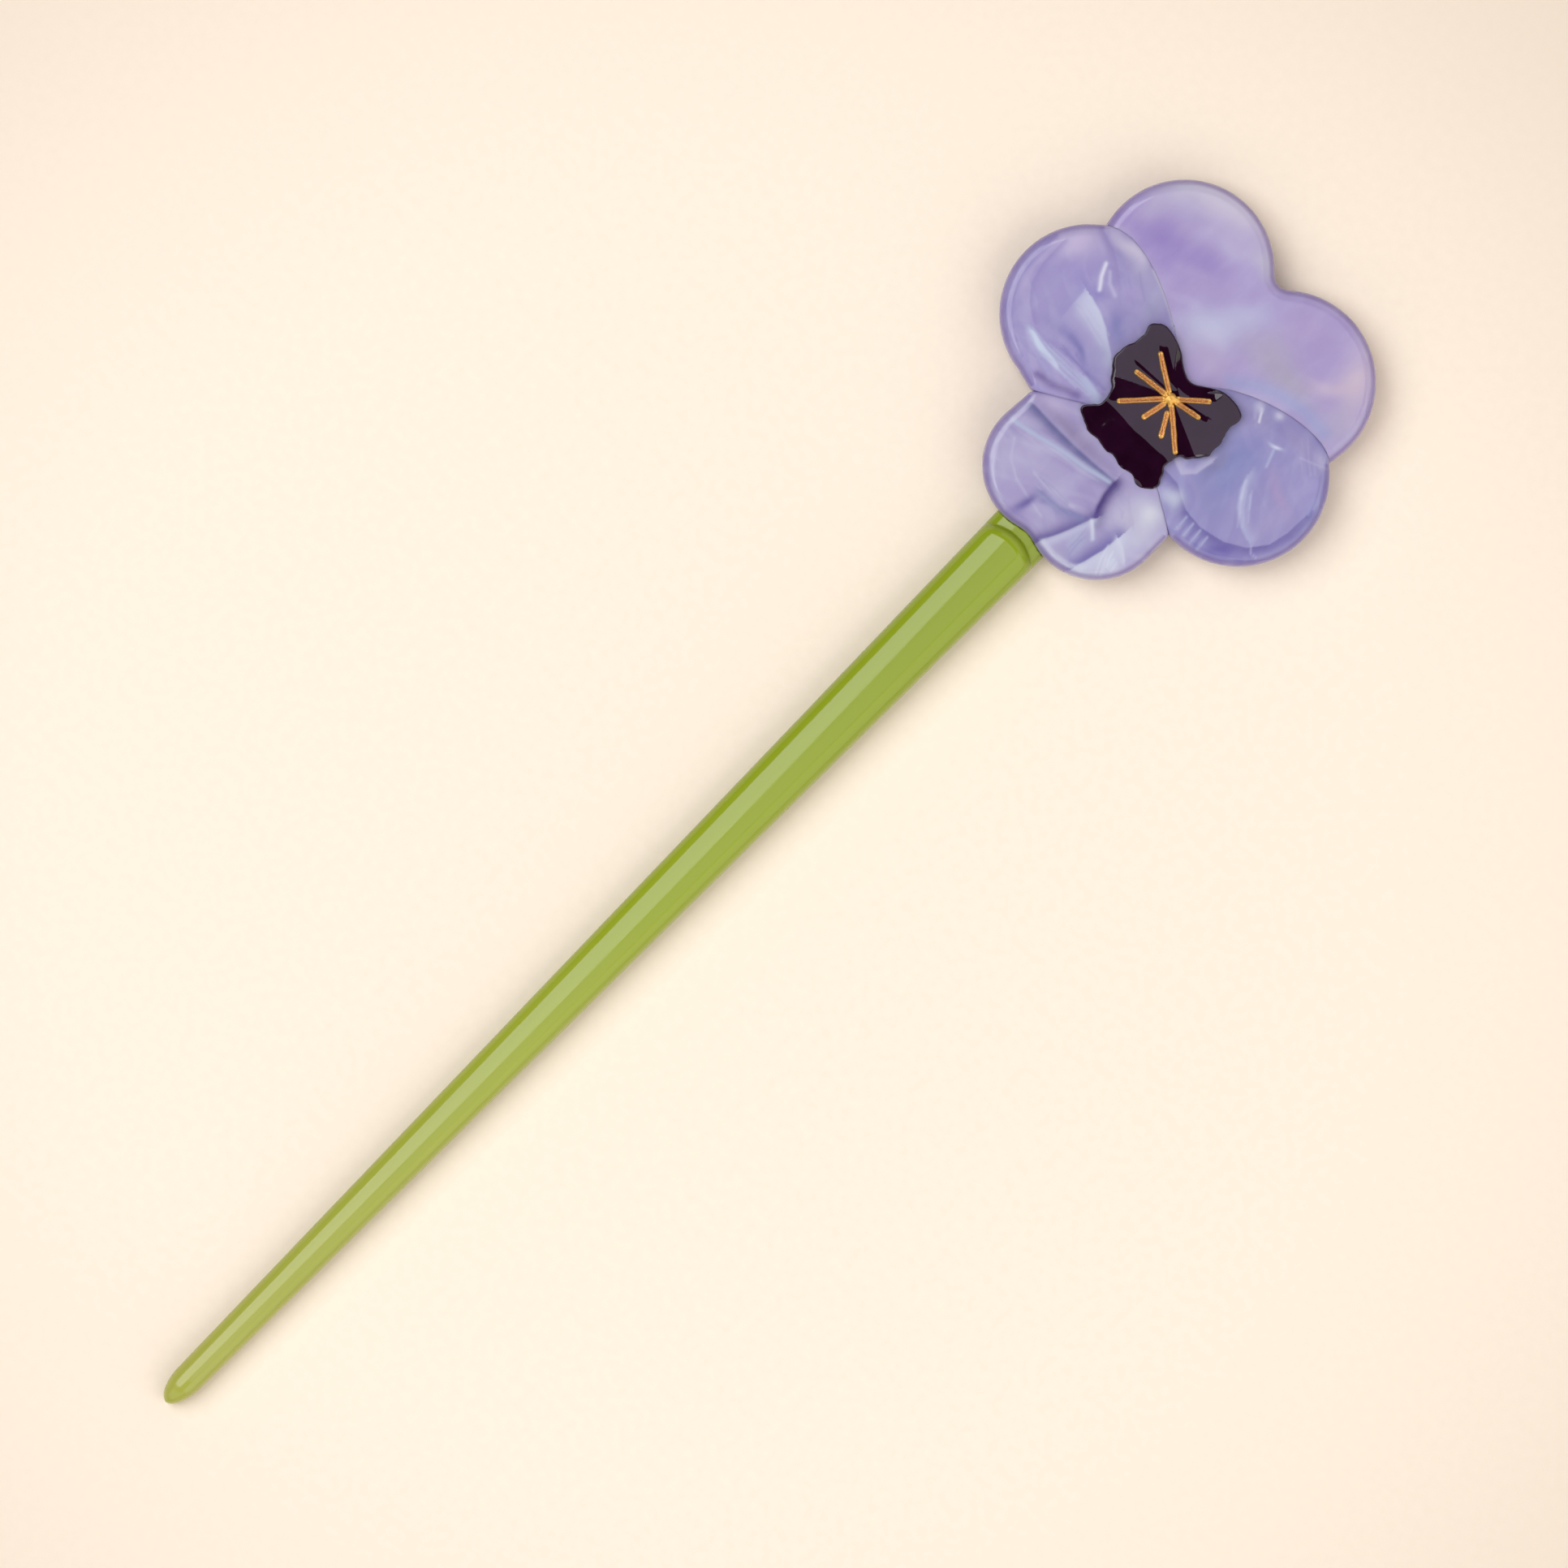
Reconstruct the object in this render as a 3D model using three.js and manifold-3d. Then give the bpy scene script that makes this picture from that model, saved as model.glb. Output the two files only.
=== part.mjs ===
// Decorative hair stick: a tapered stem that carries a pansy made of polished sheet petals.
// Millimetres. +Y runs along the stem to the flower, +Z is the side that the flower faces,
// and z = 0 is the flat back of the stem. The origin is the bottom centre of the whole part.
import * as THREE from 'three';
import { mergeVertices } from 'three/addons/utils/BufferGeometryUtils.js';
import Module from 'manifold-3d';

const wasm = await Module();
wasm.setup();

// Driving dimensions
const TOTAL_LENGTH = 170;

// Stem: half widths and heights at its two ends, and the lap tab under the flower
const TIP_HALF_WIDTH = 1.58;
const TIP_HEIGHT = 2.9;
const TIP_ROUND = 3.6;
const BLUNT_POINT = 0.08;
const HEAD_HALF_WIDTH = 3.45;
const HEAD_HEIGHT = 4.7;
const SHOULDER_START = 125.4;
const SHOULDER_END = 128.0;
const TAB_RAW_HEIGHT = 3.2;
const TAB_END = 148;
const TAB_ROUND = 3.4;

// Flower: heights above the rest plane
const FLOWER_BACK = 2.2;
const LAP_LEVEL = 3.7;
const UPPER_TOP = 4.9;
const LOWER_TOP = 5.2;
const SIDE_TOP = 5.4;
const EYE_TOP = 6.2;
const EDGE_ROUND = 0.6;
const JOINT_GAP = 0.3;

// Flower: the point where the petals meet, from the stem's tip and its centre line
const HEART_X = 1.0;
const HEART_Y = 149.0;

// Petal lobes, from the heart
const UPPER_LEFT_LOBE = { x: -8.2, y: 11.5, r: 9.5 };
const UPPER_RIGHT_LOBE = { x: 7.6, y: 10.4, r: 9.7 };
const LEFT_LOBE = { x: -12.1, y: 1.1, r: 9.45 };
const RIGHT_LOBE = { x: 11.0, y: 0, r: 9.65 };
const LOWER_LEFT_LOBE = { x: -3.7, y: -13.0, r: 7.35 };
const LOWER_RIGHT_LOBE = { x: 2.9, y: -13.05, r: 7.45 };
const UPPER_NOTCH_RADIUS = 1.5;
const LOWER_NOTCH_RADIUS = 4;

// Stamens: eight gold rays round a hub, as [direction in degrees, start radius, end radius]
const HUB = { x: 0.3, y: 0.6, r: 0.85, height: 0.6 };
const STAMEN_WIDTH = 0.52;
const STAMEN_HEIGHT = 0.42;
const STAMENS = [
  [147.6, 1.15, 5.1],
  [40, 1.15, 4.3],
  [9.9, 1.15, 3.75],
  [186.3, 1.15, 4.8],
  [227.2, 1.15, 5.7],
  [259.2, 1.15, 3.7],
  [300, 1.8, 4.35],
  [319.3, 1.15, 5.9],
];

const degrees = (angle) => THREE.MathUtils.degToRad(angle);

const polished = (color) => new THREE.MeshStandardMaterial({ color, roughness: 0.12, metalness: 0 });
const pearlAcetate = () => polished(0xa79ed0);
const greenAcetate = () => polished(0x9cb050);
const darkEnamel = () => polished(0x1f0418);
const goldPaint = () => new THREE.MeshStandardMaterial({ color: 0xc98a3c, roughness: 0.35, metalness: 0.8 });

// Closed solid from a geometry, for cutting
function solidOf(geometry) {
  const bare = geometry.clone();
  bare.deleteAttribute('normal');
  bare.deleteAttribute('uv');
  const merged = mergeVertices(bare, 1e-4);
  const vertProperties = new Float32Array(merged.attributes.position.array);
  const triVerts = new Uint32Array(merged.index.array);
  return new wasm.Manifold(new wasm.Mesh({ numProp: 3, vertProperties, triVerts }));
}

function geometryOf(solid) {
  const mesh = solid.getMesh();
  const geometry = new THREE.BufferGeometry();
  geometry.setAttribute('position', new THREE.BufferAttribute(mesh.vertProperties, 3));
  geometry.setIndex(new THREE.BufferAttribute(mesh.triVerts, 1));
  geometry.computeVertexNormals();
  return geometry;
}

// Straight slab of an outline between two heights, grown sideways by a margin
function slab(outline, bottom, top, grow) {
  const geometry = new THREE.ExtrudeGeometry(outline, {
    depth: top - bottom,
    curveSegments: 14,
    bevelEnabled: true,
    bevelSegments: 0,
    bevelThickness: 0,
    bevelSize: 0,
    bevelOffset: grow,
  });
  geometry.translate(0, 0, bottom);
  return solidOf(geometry);
}

// Sheet with rounded edges, standing between two heights
function roundedSheet(outline, bottom, top, edge) {
  const geometry = new THREE.ExtrudeGeometry(outline, {
    depth: top - bottom - 2 * edge,
    curveSegments: 14,
    bevelEnabled: true,
    bevelSegments: 2,
    bevelThickness: edge,
    bevelSize: edge,
    bevelOffset: -edge,
  });
  geometry.translate(0, 0, bottom + edge);
  return geometry;
}

// Centre of the circle of a given radius that touches two lobes from outside.
// turn is 1 for the hollow on the left of the line from a to b, and -1 for the one on its right.
function hollowCentre(a, b, radius, turn) {
  const reachA = a.r + radius;
  const reachB = b.r + radius;
  const apart = Math.hypot(b.x - a.x, b.y - a.y);
  const along = (reachA ** 2 - reachB ** 2 + apart ** 2) / (2 * apart);
  const across = turn * Math.sqrt(reachA ** 2 - along ** 2);
  const ux = (b.x - a.x) / apart;
  const uy = (b.y - a.y) / apart;
  return { x: a.x + along * ux - across * uy, y: a.y + along * uy + across * ux, r: radius };
}

const directionTo = (from, to) => Math.atan2(to.y - from.y, to.x - from.x);

// Two-lobed back sheet. Its lower edge runs under the side petals as a lap joint.
function upperOutline() {
  const left = UPPER_LEFT_LOBE;
  const right = UPPER_RIGHT_LOBE;
  const hollow = hollowCentre(left, right, UPPER_NOTCH_RADIUS, 1);
  const outline = new THREE.Shape();
  outline.absarc(right.x, right.y, right.r, degrees(-10), directionTo(right, hollow), false);
  outline.absarc(hollow.x, hollow.y, hollow.r, directionTo(hollow, right), directionTo(hollow, left), true);
  outline.absarc(left.x, left.y, left.r, directionTo(left, hollow), degrees(190), false);
  outline.lineTo(-17.2, 8.0);
  outline.lineTo(-13, 6.2);
  outline.lineTo(-10.2, 4.2);
  outline.lineTo(-4, -1.5);
  outline.lineTo(4, -1.5);
  outline.lineTo(9.8, 4.0);
  outline.lineTo(13, 5.6);
  outline.lineTo(16.9, 6.9);
  return outline;
}

function leftOutline() {
  const lobe = LEFT_LOBE;
  const outline = new THREE.Shape();
  outline.moveTo(-JOINT_GAP / 2, 2.4);
  outline.lineTo(-JOINT_GAP / 2, -4.8);
  outline.lineTo(-5.8, -6.05);
  outline.lineTo(-10.75, -8.9);
  outline.absarc(lobe.x, lobe.y, lobe.r, degrees(262), degrees(126.8), true);
  outline.bezierCurveTo(-14.6, 11.3, -8.6, 9.0, -3.4, 5.4);
  return outline;
}

function rightOutline() {
  const lobe = RIGHT_LOBE;
  const outline = new THREE.Shape();
  outline.moveTo(JOINT_GAP / 2, 2.4);
  outline.lineTo(JOINT_GAP / 2, -4.8);
  outline.lineTo(5.9, -6.9);
  outline.lineTo(10.35, -9.55);
  outline.absarc(lobe.x, lobe.y, lobe.r, degrees(-84), degrees(50.3), false);
  outline.bezierCurveTo(14.9, 9.8, 7.4, 8.1, 3.2, 5.1);
  return outline;
}

// Slightly heart-shaped lower petal; its top runs a joint gap below the side petals
function lowerOutline() {
  const left = LOWER_LEFT_LOBE;
  const right = LOWER_RIGHT_LOBE;
  const hollow = hollowCentre(left, right, LOWER_NOTCH_RADIUS, -1);
  const outline = new THREE.Shape();
  outline.absarc(left.x, left.y, left.r, degrees(178), directionTo(left, hollow) + 2 * Math.PI, false);
  outline.absarc(hollow.x, hollow.y, hollow.r, directionTo(hollow, left), directionTo(hollow, right), true);
  outline.absarc(right.x, right.y, right.r, directionTo(right, hollow), degrees(2), false);
  outline.lineTo(10.2, -9.9);
  outline.lineTo(5.75, -7.25);
  outline.lineTo(0, -5.15);
  outline.lineTo(-5.7, -6.4);
  outline.lineTo(-10.75, -9.3);
  return outline;
}

// Poured enamel eye over the place where the petals meet: a ragged butterfly shape
function eyeOutline() {
  const rim = [
    [-6.7, 4.9], [-5.2, 5.7], [-2.6, 5.0], [-0.7, 3.8], [0.4, 3.4], [2.2, 4.2], [4.6, 5.1], [6.8, 4.7],
    [7.0, 3.0], [7.4, 0], [6.9, -1.7], [5.2, -3.2], [5.0, -5.0], [5.9, -7.0], [4.2, -8.2], [2.4, -7.9],
    [-0.4, -8.1], [-3.6, -7.8], [-5.8, -6.4], [-4.7, -4.8], [-5.0, -2.9], [-6.8, -1.0], [-7.0, 1.2],
    [-6.4, 3.2],
  ];
  const curve = new THREE.CatmullRomCurve3(rim.map(([x, y]) => new THREE.Vector3(x, y, 0)), true);
  const points = curve.getSpacedPoints(56).slice(0, -1);
  return new THREE.Shape(points.map((point) => new THREE.Vector2(point.x, point.y)));
}

// Cross-section of the stem for a half width of 1 and a height of 1: flat back, crowned face
function stemSection() {
  const section = new THREE.Shape();
  section.moveTo(-0.6, 0);
  section.lineTo(0.6, 0);
  section.bezierCurveTo(0.86, 0, 1, 0.16, 1, 0.42);
  section.bezierCurveTo(1, 0.78, 0.72, 1, 0, 1);
  section.bezierCurveTo(-0.72, 1, -1, 0.78, -1, 0.42);
  section.bezierCurveTo(-1, 0.16, -0.86, 0, -0.6, 0);
  return section;
}

// 1 beyond a rounded end of the given length, falling along a quarter ellipse to a blunt point
function roundEnd(distance, length) {
  const inside = 1 - Math.min(distance / length, 1);
  return Math.max(Math.sqrt(1 - inside ** 2), BLUNT_POINT);
}

const tipLift = (y) => 0.45 + 0.55 * roundEnd(y, TIP_ROUND);

function stemHalfWidth(y) {
  const taper = TIP_HALF_WIDTH + (HEAD_HALF_WIDTH - TIP_HALF_WIDTH) * Math.min(y / SHOULDER_END, 1);
  return taper * roundEnd(y, TIP_ROUND) * roundEnd(TAB_END - y, TAB_ROUND);
}

function stemHeight(y) {
  const taper = TIP_HEIGHT + (HEAD_HEIGHT - TIP_HEIGHT) * Math.min(y / SHOULDER_END, 1);
  const fall = roundEnd(Math.max(SHOULDER_END - y, 0), SHOULDER_END - SHOULDER_START);
  return (TAB_RAW_HEIGHT + (taper - TAB_RAW_HEIGHT) * fall) * tipLift(y);
}

// Places along the stem where its section changes, close together at the rounded ends
function stemStations() {
  const stations = [0];
  const steps = 6;
  for (let i = 1; i <= steps; i += 1) {
    stations.push(TIP_ROUND * (1 - Math.cos((Math.PI / 2) * (i / steps))));
  }
  for (let y = 14; y < SHOULDER_START - 5; y += 14) {
    stations.push(y);
  }
  for (let i = 0; i <= steps; i += 1) {
    const part = Math.sin((Math.PI / 2) * (i / steps));
    stations.push(SHOULDER_START + (SHOULDER_END - SHOULDER_START) * part);
  }
  for (let i = 0; i < steps; i += 1) {
    stations.push(TAB_END - TAB_ROUND * (1 - Math.sin((Math.PI / 2) * (i / steps))));
  }
  stations.push(TAB_END);
  return stations;
}

// Stem with its lap tab: the section is swept along the stations, then the tab's top is cut flat
function stemGeometry() {
  const stations = stemStations();
  const steps = stations.length - 1;
  const settings = { depth: steps, steps, curveSegments: 5, bevelEnabled: false };
  const swept = new THREE.ExtrudeGeometry(stemSection(), settings);
  const position = swept.attributes.position;
  for (let i = 0; i < position.count; i += 1) {
    const y = stations[Math.round(position.getZ(i))];
    position.setXYZ(i, -position.getX(i) * stemHalfWidth(y), y, position.getY(i) * stemHeight(y));
  }
  const cutHeight = 4;
  const cutLength = TAB_END - SHOULDER_END + 2;
  const cutter = new THREE.BoxGeometry(12, cutLength, cutHeight);
  cutter.translate(0, SHOULDER_END + cutLength / 2, FLOWER_BACK + cutHeight / 2);
  return geometryOf(solidOf(swept).subtract(solidOf(cutter)));
}

function upperPetalsGeometry() {
  return geometryOf(
    solidOf(roundedSheet(upperOutline(), FLOWER_BACK, UPPER_TOP, EDGE_ROUND))
      .subtract(slab(leftOutline(), LAP_LEVEL, EYE_TOP, JOINT_GAP))
      .subtract(slab(rightOutline(), LAP_LEVEL, EYE_TOP, JOINT_GAP)),
  );
}

function sidePetalGeometry(outline) {
  const sheet = solidOf(roundedSheet(outline, FLOWER_BACK, SIDE_TOP, EDGE_ROUND));
  return geometryOf(sheet.subtract(slab(upperOutline(), 0, LAP_LEVEL, JOINT_GAP)));
}

// Domed hub where the stamens meet
function hubGeometry() {
  const profile = [new THREE.Vector2(0, 0)];
  const steps = 4;
  for (let i = 0; i <= steps; i += 1) {
    const angle = (Math.PI / 2) * (i / steps);
    profile.push(new THREE.Vector2(HUB.r * Math.cos(angle), HUB.height * Math.sin(angle)));
  }
  profile[profile.length - 1].x = 0;
  const geometry = new THREE.LatheGeometry(profile, 20);
  geometry.rotateX(Math.PI / 2);
  return geometry;
}

// Gold bead laid along +X with round ends, a rounded top and a flat foot
function stamenGeometry(start, end) {
  const half = STAMEN_WIDTH / 2;
  const outline = new THREE.Shape();
  outline.absarc(start + half, 0, half, degrees(90), degrees(270), false);
  outline.absarc(end - half, 0, half, degrees(-90), degrees(90), false);
  const edge = STAMEN_WIDTH / 4;
  const bead = new THREE.ExtrudeGeometry(outline, {
    depth: STAMEN_HEIGHT - edge,
    curveSegments: 3,
    bevelEnabled: true,
    bevelSegments: 1,
    bevelThickness: edge,
    bevelSize: edge,
    bevelOffset: -edge,
  });
  const below = new THREE.BoxGeometry(4 * end, 2, 2);
  below.translate(0, 0, -1);
  return geometryOf(solidOf(bead).subtract(solidOf(below)));
}

function addMesh(group, name, geometry, material) {
  const mesh = new THREE.Mesh(geometry, material);
  mesh.name = name;
  group.add(mesh);
  return mesh;
}

function stamens() {
  const group = new THREE.Group();
  group.position.set(HUB.x, HUB.y, EYE_TOP);
  addMesh(group, 'stamen_hub', hubGeometry(), goldPaint());
  STAMENS.forEach(([direction, start, end], index) => {
    const stamen = addMesh(group, `stamen_${index + 1}`, stamenGeometry(start, end), goldPaint());
    stamen.rotation.z = degrees(direction);
  });
  return group;
}

function flower() {
  const group = new THREE.Group();
  group.position.set(HEART_X, HEART_Y, 0);
  addMesh(group, 'upper_petals', upperPetalsGeometry(), pearlAcetate());
  addMesh(group, 'left_side_petal', sidePetalGeometry(leftOutline()), pearlAcetate());
  addMesh(group, 'right_side_petal', sidePetalGeometry(rightOutline()), pearlAcetate());
  const lower = roundedSheet(lowerOutline(), FLOWER_BACK, LOWER_TOP, EDGE_ROUND);
  addMesh(group, 'lower_petal', lower, pearlAcetate());
  const eye = slab(eyeOutline(), SIDE_TOP, EYE_TOP, 0);
  addMesh(group, 'enamel_eye', geometryOf(eye), darkEnamel());
  group.add(stamens());
  return group;
}

const leftSide = HEART_X + LEFT_LOBE.x - LEFT_LOBE.r;
const rightSide = HEART_X + RIGHT_LOBE.x + RIGHT_LOBE.r;

const group = new THREE.Group();
group.position.set(-(leftSide + rightSide) / 2, -TOTAL_LENGTH / 2, 0);
addMesh(group, 'stem', stemGeometry(), greenAcetate());
group.add(flower());

export default group;
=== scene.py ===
import math

import bmesh
import bpy
import numpy as np
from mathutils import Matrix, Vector, geometry


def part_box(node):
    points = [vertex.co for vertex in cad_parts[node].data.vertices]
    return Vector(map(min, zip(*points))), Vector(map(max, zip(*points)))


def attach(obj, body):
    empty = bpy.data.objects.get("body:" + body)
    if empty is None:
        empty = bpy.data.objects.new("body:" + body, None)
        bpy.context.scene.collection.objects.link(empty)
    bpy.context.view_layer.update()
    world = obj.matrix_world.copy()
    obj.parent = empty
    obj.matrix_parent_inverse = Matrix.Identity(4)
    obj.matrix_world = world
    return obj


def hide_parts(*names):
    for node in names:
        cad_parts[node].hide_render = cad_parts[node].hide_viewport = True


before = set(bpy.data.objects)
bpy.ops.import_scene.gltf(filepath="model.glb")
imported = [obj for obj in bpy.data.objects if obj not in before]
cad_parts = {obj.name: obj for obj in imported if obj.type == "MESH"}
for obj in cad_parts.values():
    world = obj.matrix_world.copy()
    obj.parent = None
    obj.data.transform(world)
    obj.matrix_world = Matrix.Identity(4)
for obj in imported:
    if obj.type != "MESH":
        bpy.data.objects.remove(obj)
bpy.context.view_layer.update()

# The looks of a pansy hair stick: polished pearl petals, a green stem, an enamel eye and gold stamens.
# Shapes are worked out in millimetres and written to meshes in metres, in the frame's own axes.
MM = 0.001
BODY = "root"

# Places taken from the frame, in millimetres
hub_low, hub_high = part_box("stamen_hub")
HUB = np.array([(hub_low.x + hub_high.x) / 2, (hub_low.y + hub_high.y) / 2]) / MM
HEART = HUB - (0.3, 0.6)
stem_low, stem_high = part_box("stem")
STEM_X = (stem_low.x + stem_high.x) / 2 / MM
STEM_TIP_Y = stem_low.y / MM
STEM_END_Y = stem_high.y / MM
FLOWER_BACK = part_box("upper_petals")[0].z / MM
UPPER_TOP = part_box("upper_petals")[1].z / MM
SIDE_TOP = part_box("left_side_petal")[1].z / MM
LOWER_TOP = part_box("lower_petal")[1].z / MM
EYE_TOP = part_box("enamel_eye")[1].z / MM

# The side petals lie on the upper sheet from this height up
LAP_LEVEL = 3.7
# A tool that cuts a joint is this much smaller all round than the piece beside the cut
CUT_MARGIN = -0.02

# Petal lobes as (x, y, radius), from the heart where the petals meet
UPPER_LEFT_LOBE = (-8.2, 11.5, 9.5)
UPPER_RIGHT_LOBE = (7.6, 10.4, 9.7)
LEFT_LOBE = (-12.1, 1.1, 9.45)
RIGHT_LOBE = (11.0, 0.0, 9.65)
LOWER_LEFT_LOBE = (-3.7, -13.0, 7.35)
LOWER_RIGHT_LOBE = (2.9, -13.05, 7.45)


# ---- plane curves

ARC_SPACING, OUTLINE_SPACING = 0.25, 0.22


def arc(lobe, start, end):
    """Points along a circle between two directions in degrees, clockwise when the second is smaller."""
    x, y, r = lobe
    count = max(3, int(abs(math.radians(end - start)) * r / ARC_SPACING))
    angles = np.radians(np.linspace(start, end, count))
    return np.column_stack([x + r * np.cos(angles), y + r * np.sin(angles)])


def bezier(p0, p1, p2, p3, count):
    t = np.linspace(0, 1, count)[:, None]
    p0, p1, p2, p3 = (np.array(p, float) for p in (p0, p1, p2, p3))
    return (1 - t) ** 3 * p0 + 3 * (1 - t) ** 2 * t * p1 + 3 * (1 - t) * t ** 2 * p2 + t ** 3 * p3


def hollow(a, b, radius, turn):
    """The circle that touches two lobes from outside, left (1) or right (-1) of the way from a to b."""
    ax, ay, ar = a
    bx, by, br = b
    apart = math.hypot(bx - ax, by - ay)
    along = ((ar + radius) ** 2 - (br + radius) ** 2 + apart ** 2) / (2 * apart)
    across = turn * math.sqrt((ar + radius) ** 2 - along ** 2)
    ux, uy = (bx - ax) / apart, (by - ay) / apart
    return (ax + along * ux - across * uy, ay + along * uy + across * ux, radius)


def direction(a, b):
    return math.degrees(math.atan2(b[1] - a[1], b[0] - a[0]))


def resample(points, spacing):
    """The same closed line with evenly spaced points."""
    closed = np.vstack([points, points[:1]])
    steps = np.hypot(*np.diff(closed, axis=0).T)
    run = np.concatenate([[0], np.cumsum(steps)])
    count = int(run[-1] / spacing)
    at = np.linspace(0, run[-1], count, endpoint=False)
    return np.column_stack([np.interp(at, run, closed[:, 0]), np.interp(at, run, closed[:, 1])])


def soften_corners(points, passes):
    """Rounds the corners of an evenly spaced closed line a little."""
    for _ in range(passes):
        points = (np.roll(points, 1, axis=0) + 2 * points + np.roll(points, -1, axis=0)) / 4
    return points


def outline_of(parts, passes):
    return soften_corners(resample(np.vstack(parts), OUTLINE_SPACING), passes)


def upper_outline():
    left, right = UPPER_LEFT_LOBE, UPPER_RIGHT_LOBE
    notch = hollow(left, right, 1.5, 1)
    return outline_of([
        arc(right, -10, direction(right, notch)),
        arc(notch, direction(notch, right), direction(notch, left)),
        arc(left, direction(left, notch), 190),
        [[-17.2, 8.0], [-13, 6.2], [-10.2, 4.2], [-4, -1.5]],
        [[4, -1.5], [9.8, 4.0], [13, 5.6], [16.9, 6.9]],
    ], passes=6)


SEAM_LEFT = [[-0.1, -4.75], [-5.8, -6.05], [-10.75, -8.95]]
SEAM_RIGHT = [[0.1, -4.75], [5.85, -7.0], [10.3, -9.68]]


def side_outline(lobe, seam, start, end, guides):
    """A side petal: down its seam from the middle, round its lobe and back in one curve."""
    turn = arc(lobe, start, end)
    return outline_of([
        [[seam[0][0], 2.4], *seam],
        turn,
        bezier(turn[-1], *guides, 60)[1:],
    ], passes=3)


def lower_outline():
    left, right = LOWER_LEFT_LOBE, LOWER_RIGHT_LOBE
    notch = hollow(left, right, 4, -1)
    return outline_of([
        arc(left, 178, direction(left, notch) + 360),
        arc(notch, direction(notch, left), direction(notch, right)),
        arc(right, direction(right, notch), 2),
        SEAM_RIGHT[::-1],
        SEAM_LEFT,
    ], passes=3)


# ---- fields over the plane

def line_distances(points, line, batch=3000):
    """Distances from points to every stretch of a closed line, for one batch of points after another."""
    d = np.roll(line, -1, axis=0) - line
    length2 = (d ** 2).sum(1)
    for start in range(0, len(points), batch):
        some = slice(start, start + batch)
        rel = points[some, None, :] - line[None]
        t = np.clip((rel * d[None]).sum(2) / length2[None], 0, 1)
        gap = rel - t[..., None] * d[None]
        yield some, np.hypot(gap[..., 0], gap[..., 1])


def distance_to(points, line):
    distance = np.zeros(len(points))
    for some, each in line_distances(points, line):
        distance[some] = each.min(1)
    return distance


def value_beside(points, line, values):
    """The value of the stretch of a closed line that is nearest to each point."""
    found = np.zeros(len(points))
    for some, each in line_distances(points, line):
        found[some] = values[each.argmin(1)]
    return found


def greatest_along(points, line, profile):
    """The greatest value of a profile of the distance to each stretch of a line."""
    result = np.zeros(len(points))
    for some, each in line_distances(points, line):
        result[some] = profile(each).max(1)
    return result


def inside(points, line):
    x, y = points[:, 0], points[:, 1]
    result = np.zeros(len(points), bool)
    for (x0, y0), (x1, y1) in zip(line, np.roll(line, -1, axis=0)):
        crosses = (y0 > y) != (y1 > y)
        if y1 != y0:
            result ^= crosses & (x < (x1 - x0) * (y - y0) / (y1 - y0) + x0)
    return result


def noise(points, size, seed):
    """Smooth noise from -1 to 1 with features of about the given size in millimetres."""
    cells = 64
    table = np.random.RandomState(seed).uniform(-1, 1, (cells, cells))
    p = points / size + cells / 2
    cell = np.floor(p).astype(int)
    f = p - cell
    f = f * f * f * (f * (6 * f - 15) + 10)
    i, j = (cell % (cells - 1)).T
    low = table[i, j] * (1 - f[:, 0]) + table[i + 1, j] * f[:, 0]
    high = table[i, j + 1] * (1 - f[:, 0]) + table[i + 1, j + 1] * f[:, 0]
    return low * (1 - f[:, 1]) + high * f[:, 1]


def turned(points, angle):
    """How far points lie along a direction, in degrees, and to the left of it."""
    a = math.radians(angle)
    along = points[:, 0] * math.cos(a) + points[:, 1] * math.sin(a)
    across = points[:, 1] * math.cos(a) - points[:, 0] * math.sin(a)
    return along, across


def round_drop(distance, width, depth):
    """How far a surface falls towards a rounded edge, along a quarter ellipse."""
    t = 1 - np.clip(distance / width, 0, 1)
    return depth * (1 - np.sqrt(np.clip(1 - t ** 2, 0, 1)))


# ---- sheet meshes

RING_KEPT = 0.93
ROW_STEP = 0.866
BACK_PITCH = 2.5


def outward(line):
    """Unit vectors that point out of a closed line at its points."""
    ahead = np.roll(line, -1, axis=0) - np.roll(line, 1, axis=0)
    ahead /= np.hypot(*ahead.T)[:, None]
    twice_area = np.sum(line[:, 0] * np.roll(line[:, 1], -1) - np.roll(line[:, 0], -1) * line[:, 1])
    return np.column_stack([ahead[:, 1], -ahead[:, 0]]) * math.copysign(1, twice_area)


def plane_mesh(line, ring_depths, pitch):
    """Triangles that fill a closed line, denser near it: points, faces and the line's own points."""
    rings = []
    for depth in ring_depths:
        ring = line - outward(line) * depth
        keep = (distance_to(ring, line) > RING_KEPT * depth) & inside(ring, line)
        rings.append(ring[keep])
    low, high = line.min(0), line.max(0)
    xs = np.arange(low[0], high[0], pitch)
    ys = np.arange(low[1], high[1], pitch * ROW_STEP)
    grid = np.array([(x + (row % 2) * pitch / 2, y) for row, y in enumerate(ys) for x in xs])
    grid = grid[inside(grid, line)]
    grid = grid[distance_to(grid, line) > ring_depths[-1] + 0.5 * pitch]
    points = np.vstack([line, *rings, grid])
    loop = [(i, (i + 1) % len(line)) for i in range(len(line))]
    verts, _, faces, ids, _, _ = geometry.delaunay_2d_cdt([Vector(p) for p in points], loop, [], 1, 1e-6)
    flat = np.array([tuple(v) for v in verts])
    on_line = {}
    for index, sources in enumerate(ids):
        for source in sources:
            if source < len(line):
                on_line[source] = index
    return flat, faces, [on_line[i] for i in range(len(line))]


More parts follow.
